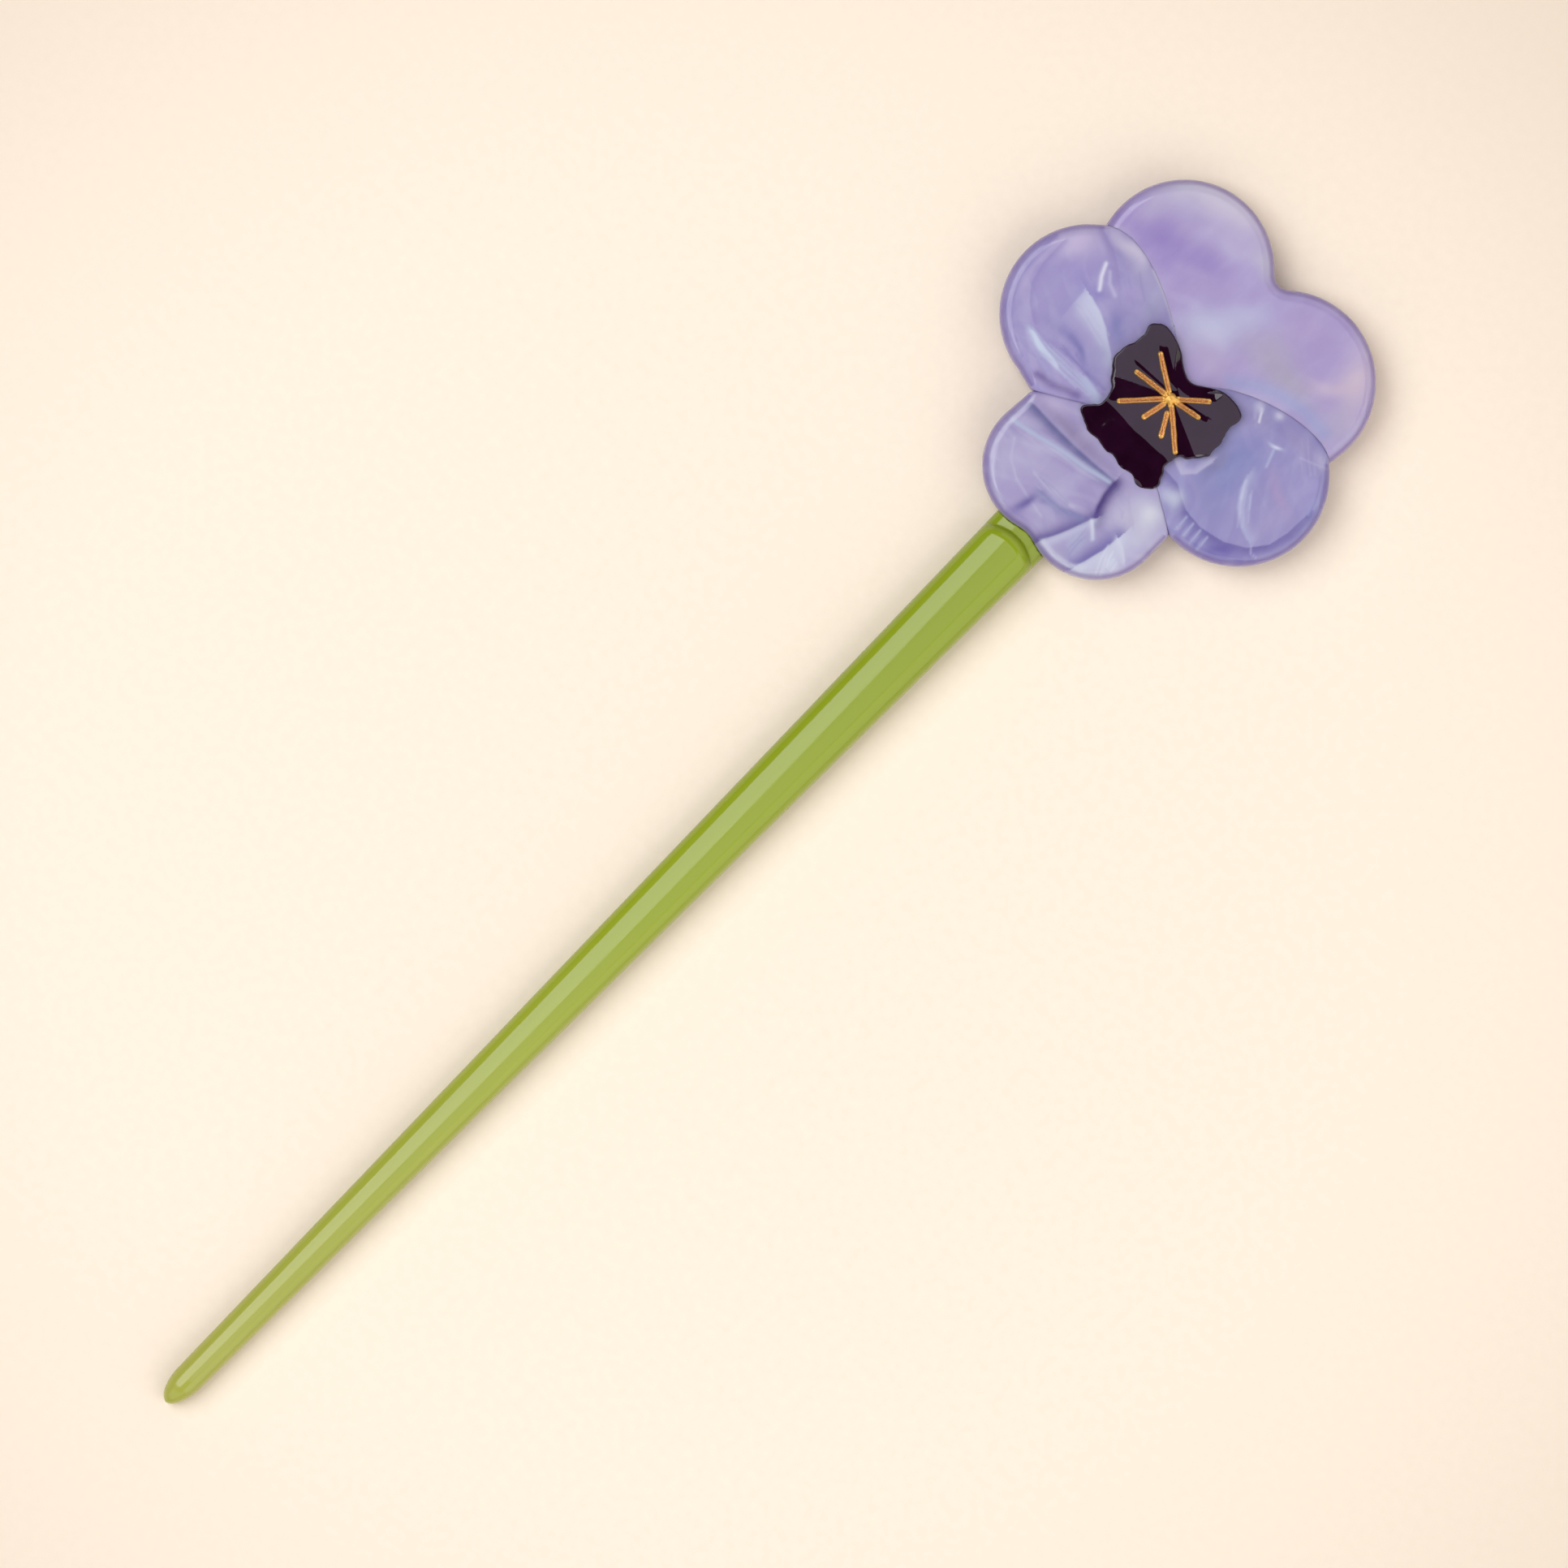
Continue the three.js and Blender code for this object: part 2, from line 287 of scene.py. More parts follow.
def new_piece(name, verts, faces):
    """A closed object from points in millimetres, with its faces turned outwards."""
    mesh = bpy.data.meshes.new(name)
    mesh.from_pydata([tuple(v) for v in verts * MM], [], faces)
    mesh.validate()
    bm = bmesh.new()
    bm.from_mesh(mesh)
    bmesh.ops.recalc_face_normals(bm, faces=bm.faces)
    bm.to_mesh(mesh)
    bm.free()
    piece = bpy.data.objects.new(name, mesh)
    bpy.context.scene.collection.objects.link(piece)
    return piece


def sheet_object(name, line, top_height, bottom_height, ring_depths, pitch):
    """A closed piece between two height functions over the area inside a line."""
    flat_t, faces_t, rim_t = plane_mesh(line, ring_depths, pitch)
    flat_b, faces_b, rim_b = plane_mesh(line, ring_depths[::2], pitch * BACK_PITCH)
    top = np.column_stack([flat_t, top_height(flat_t)])
    bottom = np.column_stack([flat_b, bottom_height(flat_b)])
    verts = np.vstack([top, bottom])
    verts[:, :2] += HEART
    shift = len(top)
    faces = [tuple(f) for f in faces_t]
    faces += [tuple(shift + i for i in reversed(f)) for f in faces_b]
    count = len(line)
    for i in range(count):
        j = (i + 1) % count
        faces.append((rim_t[i], shift + rim_b[i], shift + rim_b[j], rim_t[j]))
    piece = new_piece(name, verts, faces)
    piece.data.shade_smooth()
    return piece


def cutter(line, bottom, top, margin):
    """A plain prism over a line grown by a margin, to cut a piece with."""
    grown = line + outward(line) * margin + HEART
    count = len(grown)
    verts = np.vstack([np.column_stack([grown, np.full(count, level)]) for level in (bottom, top)])
    faces = [tuple(range(count))[::-1], tuple(range(count, 2 * count))]
    faces += [(i, (i + 1) % count, count + (i + 1) % count, count + i) for i in range(count)]
    return new_piece("cutter", verts, faces)


def cut(piece, tool):
    """Takes a tool's volume out of a piece for good."""
    step = piece.modifiers.new("cut", "BOOLEAN")
    step.operation = "DIFFERENCE"
    step.solver = "EXACT"
    step.object = tool
    bpy.context.view_layer.update()
    result = piece.evaluated_get(bpy.context.evaluated_depsgraph_get())
    shape = bpy.data.meshes.new_from_object(result)
    piece.modifiers.clear()
    piece.data = shape
    bpy.data.objects.remove(tool)


def loft(name, rings):
    """A closed piece through a row of rings with the same number of points, in millimetres."""
    count = len(rings[0])
    verts = np.vstack([*rings, rings[0].mean(0), rings[-1].mean(0)])
    faces = []
    for k in range(len(rings) - 1):
        for i in range(count):
            j = (i + 1) % count
            faces.append((k * count + i, k * count + j, (k + 1) * count + j, (k + 1) * count + i))
    last = (len(rings) - 1) * count
    for base, centre in ((0, last + count), (last, last + count + 1)):
        faces += [(base + i, base + (i + 1) % count, centre) for i in range(count)]
    piece = new_piece(name, verts, faces)
    piece.data.shade_smooth()
    return piece


# ---- pearl colours

# What the polish adds to every colour, and how much stronger a colour is painted to show as meant
GLOSS_VEIL = 0.045
LIGHT_GAIN = np.array([1.06, 1.09, 1.0])
# Clouds stray from their places by up to this much, over this distance, and drawn lines (pearl folds and
# painted light along edges) by a part of it
STRAY, STRAY_SIZE, LINE_SHARE = 0.4, 2.4, 0.15
# Lines along a petal's rim as (distance from it, width, strength)
EDGE_LINE = (0.28, 0.24, 0.6)
JOINT_LINE = (0, 0.14, 0.25)
RIM_COLOUR = (124, 106, 170)
# The pattern is strong on the face and weak on the back, and changes over a height above the back
BACK_STRENGTH, FADE_START, FADE_HEIGHT = 0.2, 0.3, 0.6


def linear(colour):
    """A colour given as 0 to 255 screen values, as linear light."""
    c = np.array(colour, float) / 255
    return np.where(c <= 0.04045, c / 12.92, ((c + 0.055) / 1.055) ** 2.4)


def under_gloss(colour):
    """The body colour that shows as the given screen colour once the polish adds its reflection."""
    return np.clip((linear(colour) - GLOSS_VEIL) * LIGHT_GAIN, 0.002, 1)


class Pearl:
    """The clouds and creases of a pearl sheet, with painted highlights, reflections and shadows in places,
    painted over its base colour point by point.
    """

    def __init__(self, points, base, seed):
        self.points = points
        push = [noise(points, STRAY_SIZE, seed), noise(points, STRAY_SIZE, seed + 1)]
        self.loose = points + STRAY * np.column_stack(push)
        self.colour = np.tile(under_gloss(base), (len(points), 1))

    def mix(self, colour, weight):
        self.colour += (under_gloss(colour) - self.colour) * np.clip(weight, 0, 1)[:, None]

    def silk(self, colour, angle, length, width, strength, seed):
        """Long soft fibres of colour along a direction."""
        along, across = turned(self.loose, angle)
        streaks = noise(np.column_stack([along / length, across / width]), 1, seed)
        self.mix(colour, strength * np.clip(streaks * 1.4, 0, 1))

    def spot(self, colour, x, y, rx, ry, angle, strength):
        """A soft oval cloud; in places a painted glint."""
        along, across = turned(self.loose - (x, y), angle)
        self.mix(colour, strength * np.exp(-((along / rx) ** 2 + (across / ry) ** 2)))

    def line_mark(self, colour, route, left, right, strength):
        """A line of colour that fades over its left and right widths, so that a small one is a sharp edge.
        It draws folds in the pearl, and in places painted highlights, reflections and shadows along edges.
        """
        route = np.array(route, float)
        best = np.full(len(self.points), np.inf)
        weight = np.zeros(len(self.points))
        p = self.points + LINE_SHARE * (self.loose - self.points)
        for a, b in zip(route[:-1], route[1:]):
            d = b - a
            t = np.clip(((p - a) @ d) / (d @ d), 0, 1)
            gap = p - a - t[:, None] * d
            dist = np.hypot(gap[:, 0], gap[:, 1])
            side = d[0] * gap[:, 1] - d[1] * gap[:, 0]
            width = np.where(side > 0, left, right)
            closer = dist < best
            weight = np.where(closer, np.exp(-(dist / width) ** 2), weight)
            best = np.minimum(best, dist)
        self.mix(colour, strength * weight)

    def fibres(self, colour, start, end, spread, count, seed, strength):
        """A bundle of thin silky lines from one place to another; in places they are painted highlight."""
        random = np.random.RandomState(seed)
        start = np.array(start, float)
        end = np.array(end, float)
        side = np.array([start[1] - end[1], end[0] - start[0]]) / np.hypot(*(end - start))
        for _ in range(count):
            shift = side * random.uniform(-spread, spread)
            trim = random.uniform(0, 0.45, 2)
            a = start + (end - start) * trim[0] + shift
            b = end - (end - start) * trim[1] + shift * random.uniform(0.6, 1.2)
            bow = (a + b) / 2 + side * random.uniform(-0.15, 0.15)
            self.line_mark(colour, [a, bow, b], 0.09, 0.13, strength * random.uniform(0.4, 1))

    def rim(self, line, free):
        """A deeper violet line just inside a free edge, and a hair line along a joint."""
        dist = distance_to(self.points, line)
        edge, joint = (
            strength * np.exp(-((dist - place) / width) ** 2)
            for place, width, strength in (EDGE_LINE, JOINT_LINE)
        )
        self.mix(RIM_COLOUR, np.where(value_beside(self.points, line, free), edge, joint))


def paint(piece, painter, line, free):
    """Stores the painted colours on a piece's points. The painters' places count from the stem's tip."""
    mesh = piece.data
    co = np.zeros(len(mesh.vertices) * 3)
    mesh.vertices.foreach_get("co", co)
    co = co.reshape(-1, 3) / MM
    tip = np.array([STEM_X, STEM_TIP_Y])
    pearl = painter(co[:, :2] - tip)
    pearl.rim(line + HEART - tip, free)
    plain = pearl.colour.mean(axis=0)
    front = np.clip((co[:, 2] - FLOWER_BACK - FADE_START) / FADE_HEIGHT, 0, 1)
    strength = BACK_STRENGTH + (1 - BACK_STRENGTH) * front
    pearl.colour = plain + (pearl.colour - plain) * strength[:, None]
    layer = mesh.attributes.new("pearl", "FLOAT_COLOR", "POINT")
    layer.data.foreach_set("color", np.column_stack([pearl.colour, np.ones(len(co))]).ravel())


def paint_upper(points):
    pearl = Pearl(points, (172, 157, 204), 11)
    pearl.silk((186, 176, 214), 24, 5, 1.1, 0.25, 21)
    pearl.silk((160, 144, 198), 60, 5, 1.4, 0.22, 22)
    pearl.spot((201, 193, 215), -9, 168.2, 6.5, 2.0, 8, 0.9)
    pearl.spot((193, 188, 212), -13, 166, 2.5, 2.2, 50, 0.7)
    pearl.spot((190, 187, 205), -1.6, 166.6, 1.8, 1.2, -20, 0.7)
    pearl.spot((154, 136, 196), -11.2, 161.0, 4.6, 1.7, 14, 1.0)
    pearl.spot((157, 140, 197), -6.2, 162.3, 3.4, 1.2, 24, 0.8)
    pearl.spot((158, 142, 199), -9.5, 159.6, 3.5, 1.2, -8, 0.6)
    pearl.spot((182, 170, 204), -14.2, 163.4, 1.2, 2.2, 10, 0.6)
    pearl.spot((170, 156, 206), -2, 164.3, 3, 1.4, 20, 0.5)
    pearl.spot((188, 180, 214), -5.5, 165.6, 3.4, 1.2, 14, 0.6)
    pearl.spot((184, 184, 219), 1.0, 161, 1.7, 4.2, -28, 0.75)
    pearl.spot((190, 192, 221), -1.4, 157.4, 2.2, 2.6, -40, 0.8)
    pearl.spot((196, 194, 222), 0.2, 157.2, 1.6, 1.5, 0, 0.6)
    pearl.spot((180, 165, 202), 1.5, 155.3, 2.8, 1.8, 0, 0.7)
    pearl.spot((180, 171, 198), 5, 160.6, 2.8, 2.0, 20, 0.7)
    pearl.spot((170, 153, 199), 6.6, 165.4, 3.0, 1.5, 12, 0.9)
    pearl.spot((176, 162, 206), 7.5, 168, 3.2, 0.9, 0, 0.5)
    pearl.spot((204, 187, 207), 14.2, 164.4, 3.2, 1.6, -58, 0.85)
    pearl.spot((201, 182, 203), 12.8, 162.2, 3.0, 0.9, 38, 0.6)
    pearl.spot((172, 164, 189), 8.6, 159.4, 4.6, 1.5, -4, 0.85)
    pearl.spot((180, 172, 198), 15.6, 160.3, 1.4, 2.4, 0, 0.6)
    # Painted reflection: a pale blue band on the upper sheet along the right petal's raised edge, where the
    # rounded fillet would reflect the light
    fillet_reflection = [(4.6, 155.4), (7, 157.1), (9.5, 158.0), (12.5, 158.5), (15.2, 158.3)]
    pearl.line_mark((158, 161, 206), fillet_reflection, 0.9, 0.7, 0.75)
    # Painted reflection: a lighter band just inside the upper sheet's right edge, where its rounding faces
    # the side light
    edge_reflection = [(15.9, 166.2), (17.0, 163.5), (17.4, 160.5), (17.2, 158)]
    pearl.line_mark((178, 178, 208), edge_reflection, 0.25, 0.25, 0.35)
    return pearl


def paint_left(points):
    pearl = Pearl(points, (162, 152, 200), 31)
    pearl.silk((184, 176, 212), -30, 4, 0.8, 0.3, 41)
    pearl.silk((144, 136, 190), 15, 4, 0.9, 0.3, 42)
    pearl.spot((198, 189, 217), -13.0, 157.7, 2.6, 0.8, 0, 0.95)
    pearl.spot((186, 178, 210), -10.6, 157.4, 1.6, 0.9, -20, 0.5)
    pearl.spot((204, 196, 224), -12, 158.0, 1.5, 0.6, 0, 0.6)
    pearl.spot((176, 170, 208), -7.2, 155.7, 1.8, 1.3, -25, 0.95)
    pearl.spot((160, 158, 195), -6.6, 154.4, 1.2, 1.4, 20, 0.5)
    pearl.spot((194, 181, 215), -17.2, 154.4, 1.6, 2.4, -25, 0.9)
    pearl.spot((156, 144, 200), -15, 152.2, 1.8, 1.8, 0, 0.6)
    pearl.spot((138, 129, 191), -12.4, 151.9, 1.0, 0.9, 40, 0.8)
    pearl.spot((172, 160, 205), -9.5, 154.5, 1.5, 1.3, 0, 0.5)
    pearl.spot((150, 142, 190), -7.6, 151.6, 2.2, 1.2, -35, 0.6)
    pearl.spot((130, 129, 183), -7.8, 150.6, 2.0, 0.8, -32, 0.85)
    # Painted highlight: a thin light line along the left petal's raised edge over the upper sheet
    top_light = [(-9.4, 158.1), (-7.4, 157.3), (-5.4, 156.3), (-3.4, 155.2)]
    pearl.line_mark((208, 204, 226), top_light, 0.2, 0.2, 0.8)
    top_fold = [(-16, 157.2), (-14, 156.5), (-12.5, 155.7), (-11.4, 154.9)]
    pearl.line_mark((148, 136, 189), top_fold, 0.08, 0.7, 0.5)
    pearl.line_mark((218, 214, 235), [(-13.5, 155), (-12.9, 153.7), (-12.1, 152.6)], 0.2, 0.24, 0.9)
    pearl.line_mark((198, 190, 220), [(-12.6, 154.7), (-11.8, 153.8), (-10.5, 153.3)], 0.2, 0.25, 0.5)
    pearl.spot((188, 188, 216), -11.4, 149.8, 1.6, 1.1, -20, 0.65)
    pale_fold = [(-12.2, 151.4), (-10.6, 150.9), (-8.6, 149.9), (-6.3, 148.4)]
    pearl.line_mark((194, 196, 223), pale_fold, 0.12, 1.3, 0.9)
    pearl.line_mark((146, 138, 195), [(-13.2, 151.3), (-13.1, 149.6), (-12.9, 148.2)], 0.1, 0.9, 0.55)
    pearl.spot((168, 158, 203), -9.5, 148.0, 2.6, 0.6, 0, 0.5)
    pearl.spot((122, 119, 178), -9.3, 146.6, 2.6, 0.5, -8, 0.8)
    pearl.spot((132, 128, 183), -12.0, 146.6, 1.6, 0.6, 8, 0.55)
    pearl.spot((150, 146, 192), -6.8, 147.5, 1.2, 1.5, 30, 0.5)
    low_fold = [(-14.3, 144.8), (-12.5, 144.6), (-10, 144.4), (-7, 144.2), (-4.4, 144.7)]
    pearl.line_mark((172, 174, 209), low_fold, 0.14, 0.5, 0.5)
    pearl.spot((194, 204, 228), -12.6, 144.1, 1.5, 0.35, -4, 0.9)
    pearl.line_mark((132, 126, 182), [(-9.0, 145.9), (-6.6, 145.5), (-4.4, 145.4)], 0.3, 0.15, 0.5)
    pearl.line_mark((180, 186, 218), [(-6.6, 144.9), (-5, 144.6), (-3.9, 144.1)], 0.3, 0.7, 0.75)
    foot = [(-14, 143.7), (-12, 143.1), (-10, 142.6), (-9.1, 142.1)]
    pearl.line_mark((166, 162, 206), foot, 0.35, 0.2, 0.7)
    pearl.line_mark((122, 106, 160), [(-10.5, 141.7), (-8.5, 142.0), (-6, 143.0)], 0.45, 0.5, 0.8)
    pearl.fibres((196, 204, 228), (-14, 144.2), (-4.6, 144.3), 0.8, 10, 43, 0.25)
    pearl.line_mark((204, 212, 234), [(-14, 144.5), (-12, 144.2), (-9.8, 143.8)], 0.12, 0.45, 0.6)
    pearl.fibres((132, 126, 182), (-11, 145.4), (-4.6, 145.3), 0.4, 4, 44, 0.5)
    pearl.fibres((196, 196, 224), (-12.6, 150.4), (-7.4, 149.2), 0.8, 7, 45, 0.4)
    pearl.fibres((150, 140, 192), (-12, 157), (-8, 154), 1.6, 6, 46, 0.3)
    # Painted reflection: a lighter band just inside the left petal's outer edge, where its rounding faces
    # the key light
    edge_reflection = [(-19.9, 153), (-20.0, 150), (-19.6, 147), (-18.3, 144.4), (-16.4, 142.4), (-14, 141.3)]
    pearl.line_mark((182, 172, 211), edge_reflection, 0.3, 0.3, 0.2)
    inner = [(-19.2, 153.5), (-19.3, 150.5), (-18.9, 147.6), (-17.6, 145), (-15.6, 143.1), (-13, 141.9)]
    pearl.line_mark((134, 122, 181), inner, 0.12, 0.35, 0.4)
    pearl.line_mark((180, 168, 208), [(-18.8, 152.5), (-18.7, 149.5), (-17.9, 147)], 0.3, 0.3, 0.5)
    lap = [(-18.3, 153.5), (-18.25, 150.5), (-17.6, 148.1), (-16.3, 146.5), (-14.6, 145.3)]
    pearl.line_mark((144, 132, 189), lap, 0.5, 0.08, 0.5)
    return pearl


def paint_right(points):
    pearl = Pearl(points, (150, 144, 194), 51)
    pearl.silk((170, 160, 204), -25, 4, 0.9, 0.3, 61)
    pearl.silk((178, 176, 214), -62, 5, 0.7, 0.2, 62)
    pearl.spot((134, 138, 190), 10.8, 148.8, 2.6, 4.0, 0, 0.9)
    pearl.spot((146, 142, 190), 12, 144.6, 2.6, 1.3, 0, 0.7)
    pearl.spot((128, 124, 166), 9.3, 148.2, 0.8, 2.0, 10, 0.7)
    pearl.spot((156, 148, 192), 9.2, 154.4, 1.6, 1.2, 20, 0.7)
    pearl.spot((166, 156, 200), 14.6, 155.8, 2.6, 1.2, 0, 0.8)
    pearl.spot((168, 160, 206), 18.2, 153.2, 1.8, 1.4, -40, 0.8)
    pearl.spot((150, 152, 202), 20.3, 151.2, 0.7, 2.0, 8, 0.7)
    pearl.spot((170, 151, 195), 16.6, 150.4, 2.6, 0.8, -26, 0.75)
    pearl.spot((166, 156, 200), 17.8, 147.5, 1.6, 2.0, 0, 0.7)
    # Painted shadow: a thin dark line along the step where the right petal lies over the upper sheet
    seam = [(4.2, 154.3), (6, 155.4), (8.5, 156.5), (11, 157.2), (14, 157.65), (17, 157.2)]
    pearl.line_mark((108, 102, 160), seam, 0.1, 0.14, 0.55)
    # Painted glints: small bright highlights on the right petal's face near its upper edge
    pearl.spot((198, 194, 223), 8.5, 155.6, 0.7, 0.45, -50, 0.8)
    pearl.line_mark((216, 214, 235), [(8.9, 155.6), (9.6, 154.4)], 0.14, 0.12, 0.9)
    pearl.spot((207, 202, 227), 10.8, 156.3, 0.6, 0.4, 20, 0.85)
    pearl.spot((214, 216, 237), 12.6, 153.95, 0.85, 0.2, 4, 0.8)
    pearl.line_mark((182, 186, 220), [(12.8, 153.4), (13.5, 151.6)], 0.15, 0.2, 0.6)
    pearl.spot((190, 182, 215), 17, 156.2, 1.1, 0.5, -30, 0.7)
    pearl.line_mark((188, 182, 215), [(15.4, 154.8), (18.3, 156)], 0.12, 0.12, 0.5)
    # Painted highlight: a bright curved streak where the face slopes towards the light
    highlight_streak = [(12.8, 149.6), (13.3, 148.1), (14.4, 146.5), (16, 145.3), (17.4, 144.8)]
    pearl.line_mark((194, 196, 226), highlight_streak, 0.8, 0.18, 0.4)
    pearl.line_mark((200, 202, 228), [(13.0, 149), (13.9, 147.4)], 0.25, 0.12, 0.5)
    pearl.line_mark((186, 180, 213), [(6.2, 145.4), (7.6, 144.9), (8.7, 146), (9.0, 148)], 0.6, 0.15, 0.75)
    lap = [(6.4, 143.9), (8, 143.8), (9.2, 143), (10.6, 142.4), (13, 142.2), (16, 142.8), (18, 144),
           (19.5, 146), (20, 148.2), (20.1, 151)]
    pearl.line_mark((104, 94, 160), lap, 0.07, 0.9, 0.7)
    pearl.spot((104, 94, 168), 16.4, 142.0, 2.2, 0.7, 20, 0.7)
    pearl.line_mark((182, 176, 216), [(18.2, 144.6), (18.7, 144.05), (19.4, 144.1)], 0.1, 0.14, 0.6)
    pearl.spot((154, 146, 196), 20.6, 146.5, 0.4, 1.6, -15, 0.5)
    pearl.spot((190, 192, 217), 8.8, 142.4, 1.2, 0.8, -30, 0.9)
    # Painted highlight: bright fibres along the same streak
    pearl.fibres((196, 198, 226), (13.2, 149), (16.2, 145.2), 0.7, 7, 63, 0.3)
    # Painted highlight: bright fibres along the first glint
    pearl.fibres((186, 182, 216), (8.0, 156.2), (9.6, 153.8), 0.6, 5, 64, 0.25)
    pearl.fibres((184, 178, 212), (14.5, 157), (18.5, 153.5), 1.4, 6, 65, 0.35)
    for k in range(7):
        x = 11.2 + 0.5 * k
        colour = (126, 122, 180) if k % 2 else (178, 182, 214)
        pearl.line_mark(colour, [(x, 142.0), (x + 0.15, 140.3)], 0.13, 0.15, 0.65)
    return pearl


def paint_lower(points):
    pearl = Pearl(points, (166, 156, 199), 71)
    pearl.silk((186, 180, 212), 25, 4, 0.8, 0.35, 81)
    pearl.silk((150, 140, 188), -20, 4, 0.9, 0.3, 82)
    pearl.spot((148, 136, 175), -3, 139.9, 5.5, 0.8, 0, 1.0)
    pearl.spot((183, 169, 207), -7, 140.4, 1.6, 0.7, 20, 0.7)
    pearl.spot((180, 172, 208), -5.5, 134.6, 2.6, 1.4, 15, 0.6)
    pearl.spot((174, 166, 203), -1.5, 134.8, 2, 1.4, 0, 0.5)
    pearl.spot((186, 180, 212), -6.6, 132.4, 1.4, 1.6, 40, 0.5)
    top_shade = [(-8.4, 139.0), (-6, 138.9), (-3, 138.9), (0, 139), (2.9, 139.2)]
    pearl.line_mark((110, 108, 156), top_shade, 0.2, 0.8, 0.95)
    top_light = [(-9, 136.4), (-6, 137), (-3, 137.7), (0, 138.2), (3.1, 138.9)]
    pearl.line_mark((178, 184, 215), top_light, 0.34, 0.2, 0.85)
    pearl.line_mark((142, 128, 182), [(-9, 135.8), (-4, 136.4), (0, 137.4), (3, 138.3)], 0.1, 0.4, 0.25)
    pearl.spot((186, 180, 212), -5, 136.3, 2.0, 0.6, 15, 0.6)
    # Painted reflection: a lighter band just inside the lower petal's left edge, where its rounding faces
    # the key light
    edge_reflection = [(-9.1, 139.4), (-9.05, 136.5), (-8.5, 133.6), (-7, 131.4), (-5, 130), (-3, 129.2)]
    pearl.line_mark((188, 184, 215), edge_reflection, 0.2, 0.2, 0.6)
    inner = [(-7.5, 135.3), (-6.3, 133.5), (-4.4, 132.3), (-2, 131.7), (0.3, 131.3)]
    pearl.line_mark((185, 179, 212), inner, 0.12, 0.2, 0.6)
    pearl.spot((112, 102, 164), -2, 131, 0.55, 1.3, -12, 0.9)
    pearl.spot((126, 118, 176), -0.6, 132.4, 0.7, 0.5, 40, 0.6)
    pearl.spot((188, 182, 211), 6.4, 137.4, 1.8, 1.8, 0, 0.85)
    pearl.spot((208, 208, 224), 8.3, 139.2, 1.9, 1.6, -35, 0.95)
    pearl.spot((196, 194, 218), 9.6, 137.2, 1, 1.6, 20, 0.6)
    shade = [(3.3, 139.2), (3.5, 137.6), (3.9, 136.2), (4.5, 135.0)]
    pearl.line_mark((78, 62, 124), shade, 0.85, 0.28, 0.95)
    fold = [(4.4, 134.9), (3.5, 132.4), (2.8, 130.8), (2.1, 129.4)]
    pearl.line_mark((94, 82, 148), fold, 0.15, 0.95, 0.85)
    pearl.line_mark((196, 197, 224), fold, 0.7, 0.15, 0.75)
    pearl.line_mark((128, 130, 178), [(-1.5, 133.2), (1, 133.3), (3.2, 134.2)], 0.2, 0.7, 0.7)
    pearl.line_mark((190, 184, 214), [(-3.5, 134.0), (-1, 133.9), (1.8, 134.2)], 0.4, 0.12, 0.5)
    pearl.line_mark((208, 210, 231), [(4.4, 134.7), (5.0, 134.2), (5.8, 133.4)], 0.2, 0.25, 0.85)
    second_fold = [(7.65, 135.2), (7.5, 133.2), (7, 131.2), (6.6, 130.2)]
    pearl.line_mark((106, 98, 166), second_fold, 0.14, 1.2, 0.8)
    pearl.line_mark((201, 202, 226), second_fold, 1.9, 0.14, 0.85)
    pearl.fibres((186, 190, 218), (-8.6, 136.6), (3.0, 138.4), 0.6, 9, 83, 0.15)
    pearl.fibres((150, 150, 192), (-3, 133.4), (3, 133.6), 0.9, 7, 84, 0.5)
    pearl.spot((174, 178, 210), 5.0, 132.1, 0.9, 1.3, 0, 0.7)
    pearl.spot((206, 210, 230), 9.1, 133.1, 0.9, 1.2, 0, 0.6)
    pearl.fibres((150, 146, 192), (4.8, 133.8), (5.0, 130), 0.8, 6, 85, 0.45)
    pearl.fibres((214, 216, 234), (7.8, 134.6), (9.4, 130.8), 1.0, 7, 86, 0.5)
    pearl.fibres((168, 156, 198), (4.6, 138.5), (7.6, 136), 1.2, 5, 87, 0.4)
    pearl.spot((166, 160, 194), 4.2, 130.0, 0.9, 0.5, 0, 0.6)
    pearl.line_mark((208, 208, 229), [(7.7, 135.3), (8.8, 134.9), (9.8, 134.2)], 0.12, 0.5, 0.6)
    notch = [(2.3, 129.5), (4, 129.3), (5.8, 129.6), (7.2, 130.4)]
    pearl.line_mark((204, 204, 227), notch, 0.3, 0.2, 0.85)
    return pearl


# ---- materials

ACETATE_INDEX, ENAMEL_INDEX = 1.48, 1.5


